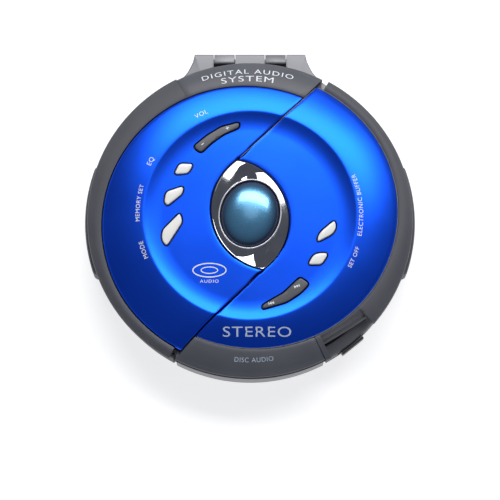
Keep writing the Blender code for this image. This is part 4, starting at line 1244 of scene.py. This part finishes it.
# ---------------------------------------------------------------- CAD nodes that stay
def keep_cad():
    """Better materials, welded seams and softened edges on the CAD nodes that stay."""
    finishes = {
        "battery_bay": BLACK, "battery_1": CELL, "battery_2": CELL, "contact_plate": STEEL,
        "main_board": BOARD, "mech_chassis": STEEL, "damper_1": RUBBER, "damper_2": RUBBER,
        "damper_3": RUBBER, "spindle_motor": STEEL, "feed_motor": STEEL, "guide_rod": STEEL,
        "hinge_pin": STEEL, "lead_screw": BRASS, "feed_pinion": NYLON, "pickup_sled": BLACK,
        "objective_lens": LENS, "display_module": SCREEN, "key_board": BOARD,
        "key_membrane": MAT, "hinge_arm_left": SILVER, "hinge_arm_right": SILVER,
    }
    edges = {"battery_bay": 0.3, "mech_chassis": 0.25, "pickup_sled": 0.35, "hinge_arm_left": 0.35,
             "hinge_arm_right": 0.35, "display_module": 0.3, "main_board": 0.1}
    for name, material in finishes.items():
        node = frame["nodes"][name]
        node.data.materials.clear()
        node.data.materials.append(material)
        weld = node.modifiers.new("weld", "WELD")
        weld.merge_threshold = 0.00001
        if name in edges:
            bevel = node.modifiers.new("edges", "BEVEL")
            bevel.width = edges[name] * MM
            bevel.segments = 2
            bevel.limit_method = "ANGLE"
            bevel.angle_limit = math.radians(45.0)
        node.data.shade_smooth()
        node.data.set_sharp_from_angle(angle=math.radians(38.0))


# ---------------------------------------------------------------- stage
def softbox(name, tilt, clock, distance, size, radiance, shape="RECTANGLE"):
    """A flat soft light, aimed at the object from a tilt off the vertical."""
    lean = math.radians(tilt)
    place = Vector(polar(math.sin(lean), clock, math.cos(lean))) * distance
    data = bpy.data.lights.new(name, "AREA")
    data.shape = shape
    data.size = size[0]
    data.size_y = size[1]
    data.energy = radiance * math.pi * size[0] * size[1]
    lamp = placed(name, data)
    lamp.location = place
    lamp.rotation_euler = (-place).to_track_quat("-Z", "Y").to_euler()


def make_world():
    """A dim room that turns pale towards the horizon."""
    world = bpy.data.worlds.new("studio")
    bpy.context.scene.world = world
    world.use_nodes = True
    tree = world.node_tree
    rise = upward(tree, tree.nodes.new("ShaderNodeTexCoord").outputs["Generated"])
    colour = ramp(tree, rise, (0.02, (0.85, 0.87, 0.90)), (0.34, (0.15, 0.16, 0.19)))
    wire(tree, tree.nodes["Background"], {}, {"Color": colour})


def make_stage():
    """A pale lit floor and one big soft window behind and above the object."""
    bpy.ops.mesh.primitive_plane_add(size=8.0, location=(0.0, 0.0, -0.0002))
    floor = bpy.context.object
    floor.name = "floor"
    item, tree, shader = shader_of("floor_paper")
    paper = tint(tree, grain(tree, 3.0), (0.54, 0.54, 0.545), (0.56, 0.56, 0.565))
    wire(tree, shader, {"Roughness": 0.9, "Emission Color": (1.0, 1.0, 1.0, 1.0),
                        "Emission Strength": 0.72}, {"Base Color": paper})
    floor.data.materials.append(item)
    make_world()
    softbox("window_light", 35.0, 12.0, 1.6, (1.6, 0.54), 8.4)
    softbox("ceiling_glow", 14.0, 10.0, 1.5, (0.62, 0.5), 0.75, "ELLIPSE")
    view = bpy.context.scene.view_settings
    view.view_transform = "Standard"
    view.look = "None"


def make_camera():
    """The camera: almost overhead, seen from the front, with the object above the middle."""
    distance = 0.95
    elevation = math.radians(78.0)
    view_width = 0.2425
    target = Vector((0.0, AXIS.y - 0.0152, 0.024))
    back = Vector((0.0, -math.cos(elevation), math.sin(elevation)))
    data = bpy.data.cameras.new("camera")
    data.lens = data.sensor_width * distance / view_width
    item = placed("camera", data)
    item.location = target + back * distance
    item.rotation_euler = (-back).to_track_quat("-Z", "Y").to_euler()
    bpy.context.scene.camera = item


for make in (make_camera, make_bottom_case, make_armour, make_grips, make_feet_and_screws,
             make_battery_cover, make_sockets, make_sliders, make_deck, make_turntable,
             make_springs, make_lid_rim, make_caps, make_panels, make_keys, make_eye, make_edge_highlights,
             make_liner, make_print, keep_cad, make_stage):
    make()
